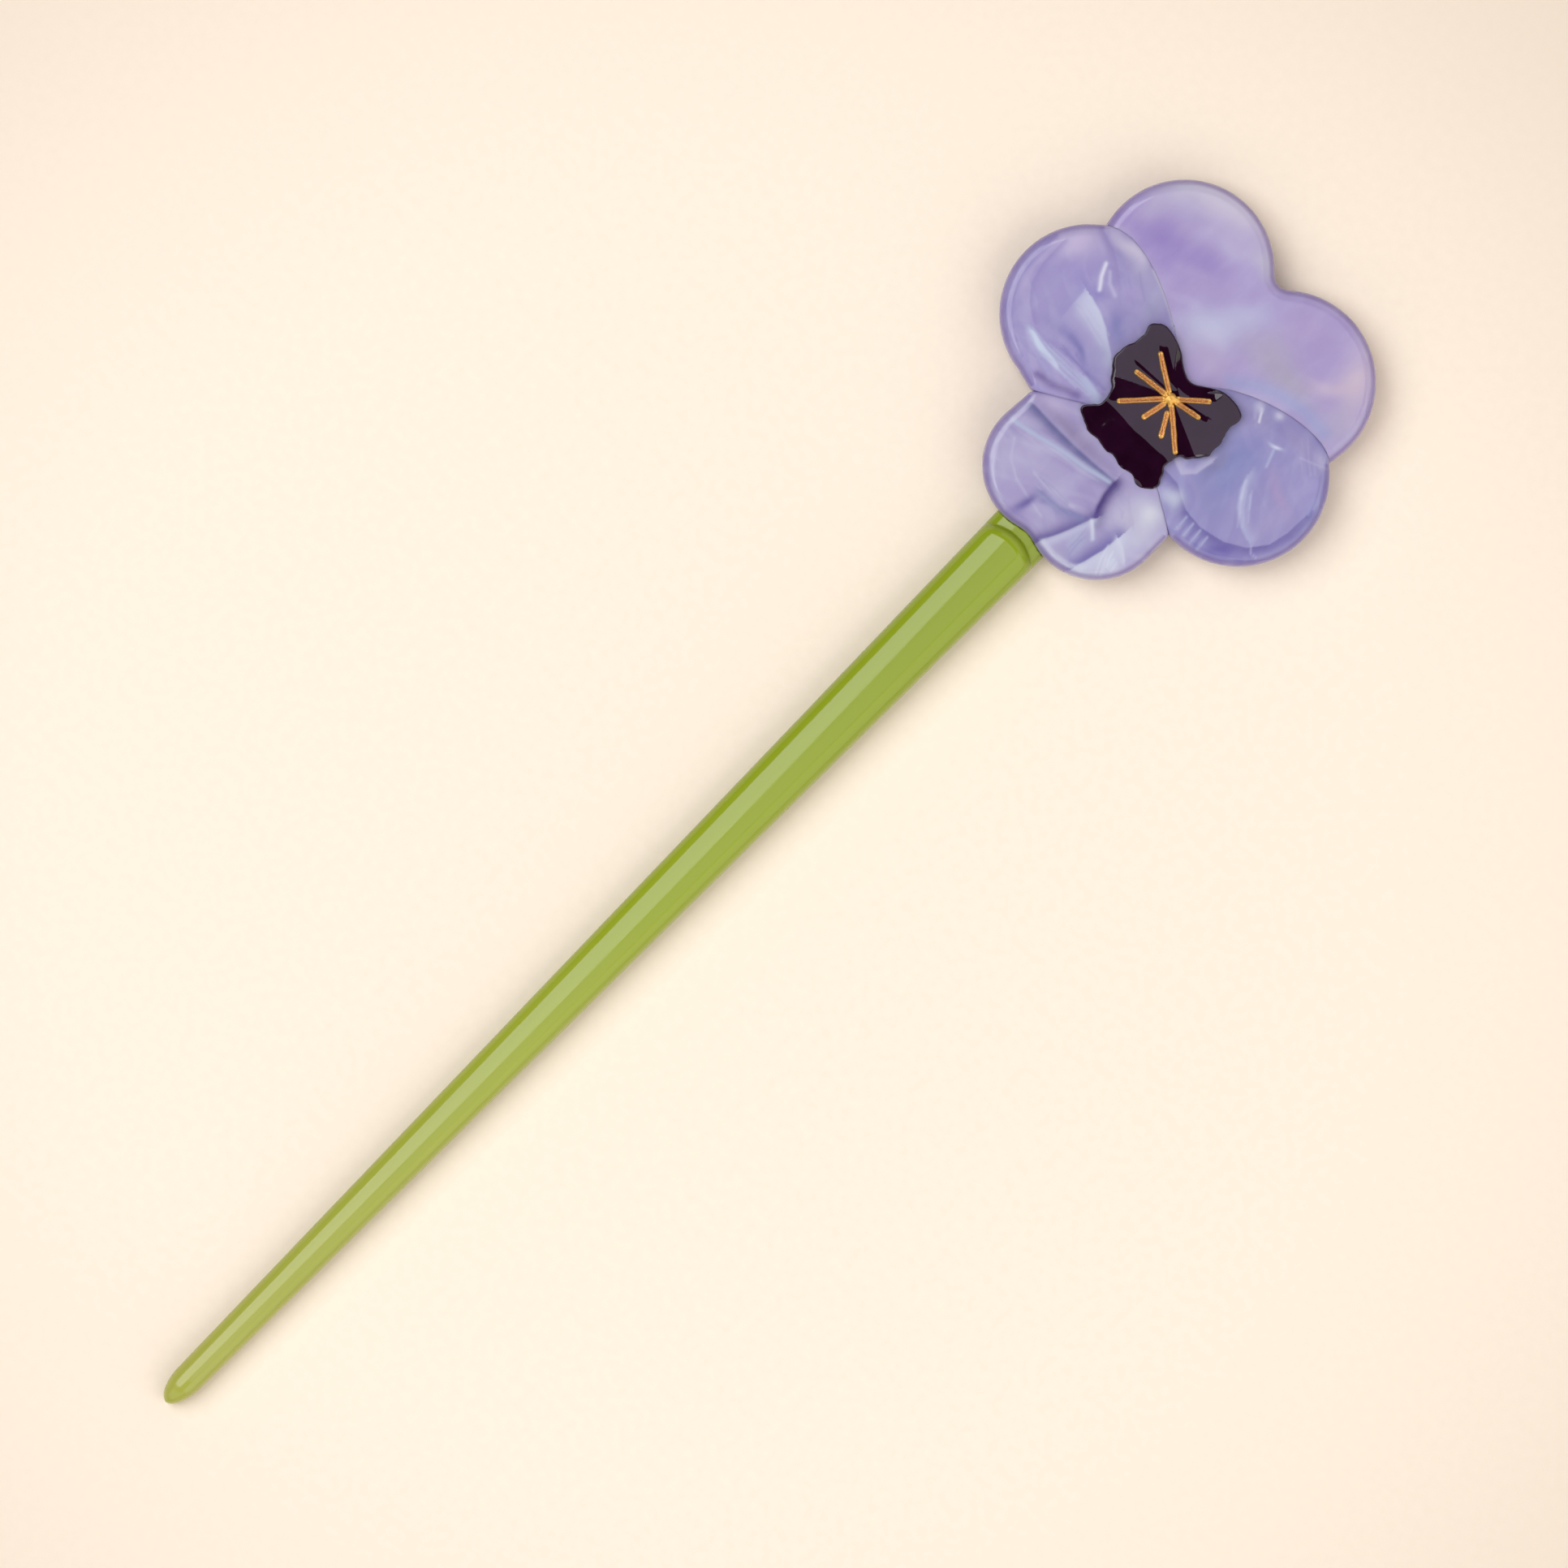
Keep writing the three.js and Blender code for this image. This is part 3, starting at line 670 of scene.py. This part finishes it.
class Look:
    """A material whose shader gets its nodes one by one."""

    def __init__(self, name, colour, roughness):
        self.material = bpy.data.materials.new(name)
        self.material.use_nodes = True
        tree = self.material.node_tree
        self.add, self.link = tree.nodes.new, tree.links.new
        self.inputs = tree.nodes["Principled BSDF"].inputs
        self.inputs["Base Color"].default_value = (*linear(colour), 1)
        self.inputs["Roughness"].default_value = roughness

    def place(self):
        return self.add("ShaderNodeTexCoord").outputs["Object"]

    def noise(self, scale, stretch=(1, 1, 1), detail=3):
        mapping = self.add("ShaderNodeMapping")
        mapping.inputs["Scale"].default_value = stretch
        texture = self.add("ShaderNodeTexNoise")
        texture.inputs["Scale"].default_value = scale
        texture.inputs["Detail"].default_value = detail
        self.link(self.place(), mapping.inputs["Vector"])
        self.link(mapping.outputs["Vector"], texture.inputs["Vector"])
        return texture.outputs["Fac"]

    def spread(self, source, low, high, start=0.3, stop=0.7):
        """Takes a value's range from start to stop over to the range from low to high."""
        step = self.add("ShaderNodeMapRange")
        for socket, value in (("From Min", start), ("From Max", stop), ("To Min", low), ("To Max", high)):
            step.inputs[socket].default_value = value
        self.link(source, step.inputs["Value"])
        return step.outputs["Result"]

    def mix(self, factor, a, b):
        """Mixes two colours, each a socket or a screen colour, by a socket."""
        mix = self.add("ShaderNodeMix")
        mix.data_type = "RGBA"
        self.link(factor, mix.inputs["Factor"])
        for value, socket in ((a, mix.inputs[6]), (b, mix.inputs[7])):
            if isinstance(value, bpy.types.NodeSocket):
                self.link(value, socket)
            else:
                socket.default_value = (*linear(value), 1)
        return mix.outputs[2]

    def bump(self, height, strength, distance):
        bump = self.add("ShaderNodeBump")
        bump.inputs["Strength"].default_value = strength
        bump.inputs["Distance"].default_value = distance
        self.link(height, bump.inputs["Height"])
        self.link(bump.outputs["Normal"], self.inputs["Normal"])

    def vary_roughness(self, scale, low, high):
        self.link(self.spread(self.noise(scale), low, high), self.inputs["Roughness"])


def pearl_material():
    look = Look("pearl_acetate", (172, 158, 204), 0.1)
    painted = look.add("ShaderNodeAttribute")
    painted.attribute_name = "pearl"
    fibre = look.noise(420, (1, 0.35, 1), 4)
    weight = look.spread(fibre, 0, 0.12, 0.45, 0.75)
    silky = look.mix(weight, painted.outputs["Color"], (214, 214, 236))
    cloud = look.noise(160, (0.5, 1, 1), 3)
    depth = look.spread(cloud, 0, 0.10, 0.5, 0.8)
    look.link(look.mix(depth, silky, (112, 98, 164)), look.inputs["Base Color"])
    look.vary_roughness(300, 0.06, 0.14)
    look.inputs["IOR"].default_value = ACETATE_INDEX
    look.inputs["Subsurface Weight"].default_value = 0.7
    look.inputs["Subsurface Radius"].default_value = (1, 0.9, 1)
    look.inputs["Subsurface Scale"].default_value = 0.0007
    look.bump(look.noise(110, detail=1), 0.25, 0.00012)
    return look.material


def green_material():
    look = Look("green_acetate", (146, 162, 40), 0.1)
    split = look.add("ShaderNodeSeparateXYZ")
    look.link(look.place(), split.inputs["Vector"])
    tip, middle, head = STEM_TIP_Y * MM, -0.015, 0.043
    lower_half = look.spread(split.outputs["Y"], 1, 0, tip, middle)
    upper_half = look.spread(split.outputs["Y"], 0, 1, middle, head)
    body = look.mix(lower_half, (150, 165, 38), (176, 174, 84))
    body = look.mix(upper_half, body, (138, 156, 30))
    cloud = look.spread(look.noise(60, (1, 0.15, 1), 3), 0, 0.3)
    marbled = look.mix(cloud, body, (156, 172, 56))
    fibre = look.spread(look.noise(500, (1, 0.05, 1), 2), 0, 0.15)
    look.link(look.mix(fibre, marbled, (124, 144, 18)), look.inputs["Base Color"])
    look.vary_roughness(350, 0.07, 0.15)
    look.inputs["IOR"].default_value = ACETATE_INDEX
    look.bump(look.noise(90, (1, 0.3, 1), 1), 0.2, 0.0001)
    return look.material


def enamel_material():
    look = Look("dark_enamel", (30, 4, 24), 0.05)
    cloud = look.spread(look.noise(400, detail=2), 0, 0.7)
    look.link(look.mix(cloud, (26, 2, 20), (40, 8, 34)), look.inputs["Base Color"])
    look.vary_roughness(500, 0.03, 0.08)
    look.inputs["IOR"].default_value = ENAMEL_INDEX
    return look.material


def gold_material():
    look = Look("glitter_gold", (200, 140, 70), 0.35)
    flakes = look.add("ShaderNodeTexVoronoi")
    flakes.inputs["Scale"].default_value = 9000
    look.link(look.place(), flakes.inputs["Vector"])
    sparkle = look.spread(flakes.outputs["Distance"], 1, 0, 0.05, 0.45)
    # This attribute runs from copper in the groove to light gold, partly painted highlight on the raised
    # edges, the ends and near the hub
    tone_and_highlight = look.add("ShaderNodeAttribute")
    tone_and_highlight.attribute_name = "tone_and_highlight"
    body = look.mix(tone_and_highlight.outputs["Fac"], (166, 92, 52), (230, 178, 88))
    look.link(look.mix(sparkle, body, (252, 206, 124)), look.inputs["Base Color"])
    look.vary_roughness(6000, 0.25, 0.5)
    look.inputs["Metallic"].default_value = 0.6
    look.bump(flakes.outputs["Distance"], 0.6, 0.00004)
    return look.material


# ---- petals

# The rounds of a petal's free edges, joints and back edge, and the width over which its face eases down
FREE_WIDTH, FREE_DEPTH = 1.25, 1.5
JOINT_WIDTH, JOINT_DEPTH = 0.26, 0.06
BACK_ROUND = 0.6
EASE_WIDTH = 4.5
# Heights of the petals' faces, and how far the middle of their waves lies under them
SIDE_FACE = SIDE_TOP - 0.2
LOWER_FACE = LOWER_TOP - 0.05
UPPER_FACE = UPPER_TOP - 0.02
WAVE_ROOM = 0.03
# A side petal's face stays this much above the upper sheet at their joint
LAP_STEP = 0.07
# An edge nearer than this to another petal's outline is a joint
JOINT_REACH = 0.25
ABOVE_ALL = 8
UPPER_PITCH, PETAL_PITCH = 0.2, 0.14
PETAL_RINGS = [0.03, 0.1, 0.2, 0.34, 0.52, 0.74, 1.0, 1.3]


def blend_along(values, passes=30):
    for _ in range(passes):
        values = (np.roll(values, 1) + 2 * values + np.roll(values, -1)) / 4
    return values


def clear_of(line, other):
    """Which points of an outline keep away from another petal's outline."""
    return distance_to(line, other) > JOINT_REACH


def petal(name, line, free, top, ease, seed, pitch):
    """A polished sheet with rounded free edges and a face that eases down towards its fine joints."""
    width = blend_along(np.where(free, FREE_WIDTH, JOINT_WIDTH))
    depth = blend_along(np.where(free, FREE_DEPTH, JOINT_DEPTH))
    ease = blend_along(np.where(free, 0, ease))

    def face(points):
        rounding = greatest_along(points, line, lambda gap: round_drop(gap, width, depth))
        easing = greatest_along(points, line, lambda gap: ease * (1 - np.clip(gap / EASE_WIDTH, 0, 1)) ** 2)
        wave = 0.03 * noise(points, 6, seed) + 0.006 * noise(points, 2.5, seed + 1)
        return top - WAVE_ROOM + wave - rounding - easing

    def back(points):
        return FLOWER_BACK + round_drop(distance_to(points, line), BACK_ROUND, BACK_ROUND)

    return sheet_object(name, line, face, back, PETAL_RINGS, pitch)


def dress(piece, node, material):
    piece.data.materials.clear()
    piece.data.materials.append(material)
    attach(piece, BODY)
    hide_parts(node)


pearl_look = pearl_material()
upper_line = upper_outline()
left_line = side_outline(LEFT_LOBE, SEAM_LEFT, 262, 126.8, [(-14.6, 11.3), (-8.6, 9.0), (-3.4, 5.4)])
right_line = side_outline(RIGHT_LOBE, SEAM_RIGHT, -84, 50.3, [(14.9, 9.8), (7.4, 8.1), (3.2, 5.1)])
lower_line = lower_outline()

upper_free = np.ones(len(upper_line), bool)
upper = petal("upper_petals_sheet", upper_line, upper_free, UPPER_FACE, 0, 101, UPPER_PITCH)
for line in (left_line, right_line):
    cut(upper, cutter(line, LAP_LEVEL, ABOVE_ALL, CUT_MARGIN))
paint(upper, paint_upper, upper_line, upper_free)
dress(upper, "upper_petals", pearl_look)

for name, line, painter, node, seed in (
    ("left_petal_sheet", left_line, paint_left, "left_side_petal", 103),
    ("right_petal_sheet", right_line, paint_right, "right_side_petal", 105),
):
    free = ~inside(line, upper_line) & clear_of(line, lower_line)
    beside_upper = line[:, 1] > -1
    to_joint = np.where(beside_upper, SIDE_FACE - UPPER_FACE - LAP_STEP, SIDE_FACE - LOWER_FACE)
    piece = petal(name, line, free, SIDE_FACE, to_joint, seed, PETAL_PITCH)
    cut(piece, cutter(upper_line, 0, LAP_LEVEL, CUT_MARGIN))
    paint(piece, painter, line, free)
    dress(piece, node, pearl_look)

lower_free = clear_of(lower_line, left_line) & clear_of(lower_line, right_line)
lower = petal("lower_petal_sheet", lower_line, lower_free, LOWER_FACE, 0, 107, PETAL_PITCH)
paint(lower, paint_lower, lower_line, lower_free)
dress(lower, "lower_petal", pearl_look)


# ---- enamel eye

# Each stamen as direction in degrees, start, end, and the width of the sag beside it:
# at the hub, and how much wider per millimetre along the line
STAMENS = [
    (147.6, 0.5, 5.1, (1.0, 0)),
    (40, 0.5, 4.3, (0.9, 0)),
    (9.9, 0.5, 3.75, (0.55, 0.02)),
    (186.3, 0.5, 4.8, (0.6, 0.07)),
    (227.2, 0.5, 5.7, (0.35, 0.42)),
    (259.2, 0.6, 3.7, (0.1, 0)),
    (300, 1.3, 4.35, (0.2, 0)),
    (319.3, 0.5, 5.9, (0.25, 0.3)),
]


def eye_outline():
    """A smooth curve through the pool's corners, made a little ragged."""
    rim = [
        (-6.8, 4.6), (-6.2, 5.4), (-5.2, 5.75), (-4, 5.6), (-2.2, 4.9), (-1.5, 4.3), (-0.7, 3.8),
        (0.2, 3.4), (1, 3.5), (2, 4.1), (2.8, 4.6), (3.6, 5.0), (4.8, 5.15), (6, 5.0), (6.9, 4.6),
        (7.1, 3.8), (6.9, 2.9), (7.2, 1.6), (7.35, 0.5), (7.45, -0.8), (7, -1.5), (6, -2.7),
        (5.3, -3.1), (5, -3.8), (4.9, -4.8), (5.6, -6.2), (5.95, -7), (4.9, -8), (4, -8.3), (3.2, -8),
        (2.5, -7.9), (1.4, -8.25), (0.2, -7.9), (-1, -8), (-2, -7.7), (-3, -7.8), (-4, -7.8),
        (-4.7, -7.4), (-5.9, -6.4), (-4.8, -5.2), (-4.6, -4.3), (-4.7, -3.4), (-5.2, -2.6),
        (-6, -1.8), (-6.8, -1), (-7.1, 0), (-7, 1.2), (-6.6, 2.5), (-6.4, 3.3),
    ]
    p = np.array(rim)
    before, ahead, beyond = (np.roll(p, step, axis=0) for step in (1, -1, -2))
    parts = []
    for t in np.linspace(0, 1, 6, endpoint=False):
        slope = (ahead - before) * t
        bend = (2 * before - 5 * p + 4 * ahead - beyond) * t ** 2
        turn = (3 * p - before - 3 * ahead + beyond) * t ** 3
        parts.append(0.5 * (2 * p + slope + bend + turn))
    curve = resample(np.stack(parts, axis=1).reshape(-1, 2), 0.12)
    ragged = np.where((curve[:, 1] < 3) | (curve[:, 0] < -5), 1, 0.25)
    for size, reach in ((1.1, 0.09), (0.45, 0.09)):
        curve[:, 0] += reach * ragged * noise(curve, size, 211)
        curve[:, 1] += reach * ragged * noise(curve, size, 212)
    return soften_corners(curve, 2)


# The pool's flat face, the foot of its rim above the petals, and how far it sinks into them
EYE_FACE = EYE_TOP - 0.06
EYE_FOOT = 0.06
SINK = 0.02
# Width of the round at the pool's rim, and what its thick side adds to that
EYE_RIM, THICK_RIM = 0.16, 0.2
EYE_RINGS = [0.02, 0.05, 0.09, 0.14, 0.2, 0.3]
EYE_PITCH = 0.13


def petal_faces(points):
    """Height of the petals' faces under the eye."""
    height = np.full(len(points), UPPER_FACE)
    for line, top in ((left_line, SIDE_FACE), (right_line, SIDE_FACE), (lower_line, LOWER_FACE)):
        step = np.where(inside(points, line), 1, -1) * distance_to(points, line)
        height = np.maximum(height, UPPER_FACE + (top - UPPER_FACE) * np.clip(step / 0.5, 0, 1))
    return height


def sag_beside_stamens(points):
    """The enamel falls away from each gold line on the side towards the flower's top and rises again."""
    fall, recovery = 0.12, 0.085
    sag = np.zeros(len(points))
    from_hub = points - (HUB - HEART)
    for heading, start, end, (near_hub, spread) in STAMENS:
        along, across = turned(from_hub, heading)
        across *= math.copysign(1, math.cos(math.radians(heading)))
        width = near_hub + spread * np.clip(along, 0, end)
        here = np.minimum(fall * across, fall * width - recovery * (across - width))
        past = np.maximum(along - end, 0) + np.maximum(-along, 0)
        sag = np.maximum(sag, here * np.clip(1.3 - past / 0.9, 0, 1))
    return sag


def eye_face(points):
    """A poured pool with a steep ragged rim, its lower part sloping down to the flower's foot."""
    x, y = points.T
    flat = EYE_FACE + 0.02 * noise(points, 4.0, 201) - sag_beside_stamens(points)
    foot_y, foot_top, rise = -8.2, 5.22, 0.235
    slope = foot_top + rise * (y - foot_y)
    slope += 0.035 * noise(points, 1.9, 202) + 0.012 * noise(points, 0.8, 203)
    dent_x, dent_y, fall, bowl = 0.2, 1.5, 0.22, 0.07
    dent = EYE_FACE - fall * (y - dent_y) + bowl * (x - dent_x) ** 2
    foot = petal_faces(points) + EYE_FOOT
    full = np.maximum(np.minimum(np.minimum(flat, slope), dent), foot + 0.05)
    thick_x, thick_y = -5.8, -1.6
    thick_side = np.exp(-((x - thick_x) / 1.4) ** 2 - ((y - thick_y) / 1.5) ** 2)
    rim = 1 - round_drop(distance_to(points, eye_line), EYE_RIM + THICK_RIM * thick_side, 1)
    return foot + (full - foot) * rim


def eye_back(points):
    return petal_faces(points) - SINK


eye_line = eye_outline()
eye = sheet_object("enamel_pool", eye_line, eye_face, eye_back, EYE_RINGS, EYE_PITCH)
dress(eye, "enamel_eye", enamel_material())


# ---- gold stamens

# The gold's edges lie just above the pool's flat face, and its base inside the enamel
GOLD_LEVEL = EYE_TOP - 0.02
GOLD_BASE = EYE_TOP - 0.4
GOLD_HALF_WIDTH, GOLD_HEIGHT = 0.31, 0.30
gold_look = gold_material()


def tone_and_highlight(piece, values):
    layer = piece.data.attributes.new("tone_and_highlight", "FLOAT", "POINT")
    layer.data.foreach_set("value", values)


def stamen(number, heading, start, end):
    """A piped line of gold paint: a bead with raised edges and a shallow groove, its raised edges and ends
    painted lighter as highlight.
    """
    rings = []
    tones_and_highlights = []
    stations = 46
    across = 13
    a = math.radians(heading)
    ahead = np.array([math.cos(a), math.sin(a)])
    side = np.array([-math.sin(a), math.cos(a)])
    for k in range(stations + 1):
        s = start + (end - start) * 0.5 * (1 - math.cos(math.pi * k / stations))
        near_end = min(s - start, end - s) / GOLD_HALF_WIDTH
        swell = math.sqrt(max(1 - max(1 - near_end, 0) ** 2, 0.004))
        wobble = noise(np.array([[s * 1.1, number * 7.0]]), 0.6, 301)[0]
        w = GOLD_HALF_WIDTH * swell * (1 + 0.10 * wobble)
        drift = 0.03 * noise(np.array([[s, number * 5.0]]), 1.6, 302)[0]
        ring = []
        for i in range(across):
            u = -1 + 2 * i / (across - 1)
            crown = math.sqrt(max(1 - u ** 4, 0)) * (1 - 0.35 * math.exp(-(u / 0.45) ** 2))
            flat = HUB + ahead * s + side * (u * w + drift)
            ring.append((*flat, GOLD_LEVEL + GOLD_HEIGHT * crown * swell))
            # The raised edges, the ends and the part near the hub are painted lighter gold as highlight
            at_end = 0.5 if near_end < 1.2 else 0
            tones_and_highlights.append(min(1, abs(u) ** 1.5 * 0.9 + 0.5 * max(0, 1.2 - s) + at_end))
        for u in (0.9, -0.9):
            flat = HUB + ahead * s + side * (u * w + drift)
            ring.append((*flat, GOLD_BASE))
            tones_and_highlights.append(0.5)
        rings.append(np.array(ring))
    piece = loft(f"gold_stamen_{number}", rings)
    tone_and_highlight(piece, np.array(tones_and_highlights + [0.5, 0.5]))
    dress(piece, f"stamen_{number}", gold_look)


for number, (heading, start, end, _) in enumerate(STAMENS, 1):
    stamen(number, heading, start, end)


def hub_piece():
    """A lumpy dab of paint with a web towards each stamen."""
    turn = np.linspace(0, 2 * np.pi, 120, endpoint=False)
    reach = np.full(len(turn), 0.62)
    for heading, _, _, _ in STAMENS:
        off = (turn - math.radians(heading) + np.pi) % (2 * np.pi) - np.pi
        reach += 0.34 * np.exp(-(off / 0.2) ** 2)
    reach = np.minimum(reach, 1.0)
    line = np.column_stack([reach * np.cos(turn), reach * np.sin(turn)]) + (HUB - HEART)

    def face(points):
        lump = 0.06 * noise(points, 0.35, 311) + 0.03 * noise(points, 0.18, 312)
        dome = 0.42 * (1 - round_drop(distance_to(points, line), 0.5, 1))
        return GOLD_LEVEL + dome + np.where(dome > 0.05, lump, 0)

    def back(points):
        return np.full(len(points), GOLD_BASE)

    return sheet_object("gold_hub", line, face, back, [0.03, 0.08, 0.15, 0.25], 0.08)


hub = hub_piece()
tone_and_highlight(hub, np.ones(len(hub.data.vertices)))
dress(hub, "stamen_hub", gold_look)


# ---- stem

TIP_HALF_WIDTH, HEAD_HALF_WIDTH = 1.58, 3.45
TIP_HEIGHT, HEAD_HEIGHT = 2.9, 4.7
TIP_ROUND, TAB_ROUND = 3.6, 3.4
TIP_THICKNESS = 0.45
# The taper ends at the shoulder, where the face drops in a curve to slip under the flower
SHOULDER_END = 128.35
FACE_END, FACE_ROUND, FACE_DROP, FACE_CURVE = 128.05, 1.3, 1.2, 1.3
UNDER_FLOWER = 131
UNDER_GAP = 0.01
# Rings lie closer from here on, and closest from there
CLOSE_FROM, CLOSEST_FROM = 124, 126.4


def round_end(distance, length):
    return math.sqrt(max(1 - (1 - min(distance / length, 1)) ** 2, 0.0004))


def stem_section(y):
    """Half width 1 and height 1: a flat back, full sides and a crowned face, fuller towards the head."""
    flatness = 0.58 + 0.22 * y / SHOULDER_END
    lean = 0.24 * math.sin(math.pi * (y + 20) / 150)
    right = [
        bezier((0.6, 0), (0.86, 0), (1, 0.16), (1, 0.42), 14)[:-1],
        bezier((1, 0.42), (1, 0.78), (flatness, 1), (0, 1), 26),
    ]
    right = np.vstack(right)
    left = right[-2::-1] * (-1, 1)
    back = np.column_stack([np.linspace(-0.6, 0.6, 8)[1:-1], np.zeros(6)])
    ring = np.vstack([right, left, back])
    ring[:, 0] += lean * (1 - ring[:, 0] ** 2) * np.clip(ring[:, 1] * 2 - 1, 0, 1)
    return ring


def stem_piece():
    length = STEM_END_Y - STEM_TIP_Y
    stops = [TIP_ROUND * (1 - math.cos(math.pi / 2 * i / 16)) for i in range(17)]
    stops += list(np.arange(TIP_ROUND + 1.5, CLOSE_FROM, 1.5))
    stops += list(np.linspace(CLOSE_FROM, CLOSEST_FROM, 9)[:-1])
    stops += list(np.arange(CLOSEST_FROM, UNDER_FLOWER, 0.08))
    stops += list(np.linspace(UNDER_FLOWER + 0.2, length - TAB_ROUND, 6))
    stops += [length - TAB_ROUND * (1 - math.sin(math.pi / 2 * i / 10)) for i in range(1, 11)]
    rings = []
    for y in stops:
        part = min(y / SHOULDER_END, 1)
        half = TIP_HALF_WIDTH + (HEAD_HALF_WIDTH - TIP_HALF_WIDTH) * part
        half *= round_end(y, TIP_ROUND) * round_end(length - y, TAB_ROUND)
        tall = TIP_HEIGHT + (HEAD_HEIGHT - TIP_HEIGHT) * part
        tall *= TIP_THICKNESS + (1 - TIP_THICKNESS) * round_end(y, TIP_ROUND)
        section = stem_section(min(y, SHOULDER_END))
        flat = np.column_stack([STEM_X + section[:, 0] * half, np.full(len(section), STEM_TIP_Y + y)])
        to_end = FACE_END - y - FACE_CURVE * section[:, 0] ** 2
        z = section[:, 1] * (tall - round_drop(to_end, FACE_ROUND, FACE_DROP))
        covered = inside(flat - HEART, lower_line) | (y > UNDER_FLOWER)
        z = np.where(covered, np.minimum(z, FLOWER_BACK - UNDER_GAP), z)
        rings.append(np.column_stack([flat, z]))
    return loft("stem_stick", rings)


stem = stem_piece()
dress(stem, "stem", green_material())


# ---- floor, light and camera

# Sizes from here on are in metres. Shade painted on the paper darkens it between these distances from the
# middle, where the light falls off
PALE_AREA = (0.065, 0.17)
FLOOR_REACH = 4.0
CAMERA_HEIGHT, VIEW_WIDTH, VIEW_TURN = 0.8, 0.1651, 44.56
VIEW_MIDDLE = (0.0002, 0.0073, 0.0035)
SENSOR = 36


def floor_material():
    """Pale paper with painted shade: a little darker away from the middle where the light falls off."""
    look = Look("pale_paper", (247, 232, 215), 0.7)
    grain = look.spread(look.noise(900, detail=4), 0, 0.5)
    paper = look.mix(grain, (250, 236, 218), (245, 230, 212))
    distance = look.add("ShaderNodeVectorMath")
    distance.operation = "LENGTH"
    look.link(look.place(), distance.inputs[0])
    painted_falloff = look.add("ShaderNodeMapRange")
    painted_falloff.interpolation_type = "SMOOTHSTEP"
    painted_falloff.inputs["From Min"].default_value, painted_falloff.inputs["From Max"].default_value = PALE_AREA
    look.link(distance.outputs["Value"], painted_falloff.inputs["Value"])
    # Painted shade: the paper mixed towards a darker colour away from the middle
    surface = look.mix(painted_falloff.outputs["Result"], paper, (224, 207, 188))
    look.link(surface, look.inputs["Base Color"])
    look.inputs["Specular IOR Level"].default_value = 0.15
    look.bump(look.noise(1500, detail=3), 0.08, 0.0001)
    return look.material


def make_floor():
    mesh = bpy.data.meshes.new("paper_floor")
    corners = [(x * FLOOR_REACH, y * FLOOR_REACH, 0) for x, y in ((-1, -1), (1, -1), (1, 1), (-1, 1))]
    mesh.from_pydata(corners, [], [(0, 1, 2, 3)])
    paper = bpy.data.objects.new("paper_floor", mesh)
    bpy.context.scene.collection.objects.link(paper)
    mesh.materials.append(floor_material())


def softbox(name, place, target, size, power, colour):
    data = bpy.data.lights.new(name, "AREA")
    data.shape = "RECTANGLE"
    data.size, data.size_y = size
    data.energy = power
    data.color = colour
    lamp = bpy.data.objects.new(name, data)
    lamp.location = place
    lamp.rotation_euler = (Vector(target) - Vector(place)).to_track_quat("-Z", "Y").to_euler()
    bpy.context.scene.collection.objects.link(lamp)


def make_camera():
    """Straight above, turned so that the stem runs from the lower left to the upper right."""
    data = bpy.data.cameras.new("camera")
    data.sensor_width = SENSOR
    data.lens = SENSOR * CAMERA_HEIGHT / VIEW_WIDTH
    camera = bpy.data.objects.new("camera", data)
    camera.location = Vector(VIEW_MIDDLE) + Vector((0, 0, CAMERA_HEIGHT))
    camera.rotation_euler = (0, 0, math.radians(VIEW_TURN))
    bpy.context.scene.collection.objects.link(camera)
    bpy.context.scene.camera = camera


make_floor()
softbox("key", (-0.592, -0.2, 0.987), (0, -0.2, 0), (0.976, 0.92), 10.5, (0.98, 0.99, 1.0))
softbox("side_card", (0.825, 0.0, 0.60), (0, 0, 0.02), (1.24, 1.2), 7.4, (1.0, 0.97, 0.9))
softbox("ceiling", (0.165, 0.0, 1.25), (0.165, 0, 0), (0.67, 0.6), 1.75, (0.86, 0.8, 1.0))
softbox("head_fill", (0.1, 1.15, 0.75), (0, 0, 0), (2.0, 0.8), 4.2, (1.0, 0.97, 0.93))
softbox("foot_fill", (0.1, -1.15, 0.75), (0, 0, 0), (2.0, 0.8), 4.2, (1.0, 0.97, 0.93))
make_camera()

world = bpy.data.worlds.new("studio")
world.use_nodes = True
world.node_tree.nodes["Background"].inputs["Color"].default_value = (1, 0.97, 0.93, 1)
world.node_tree.nodes["Background"].inputs["Strength"].default_value = 0.03
bpy.context.scene.world = world
bpy.context.scene.view_settings.view_transform = "Standard"
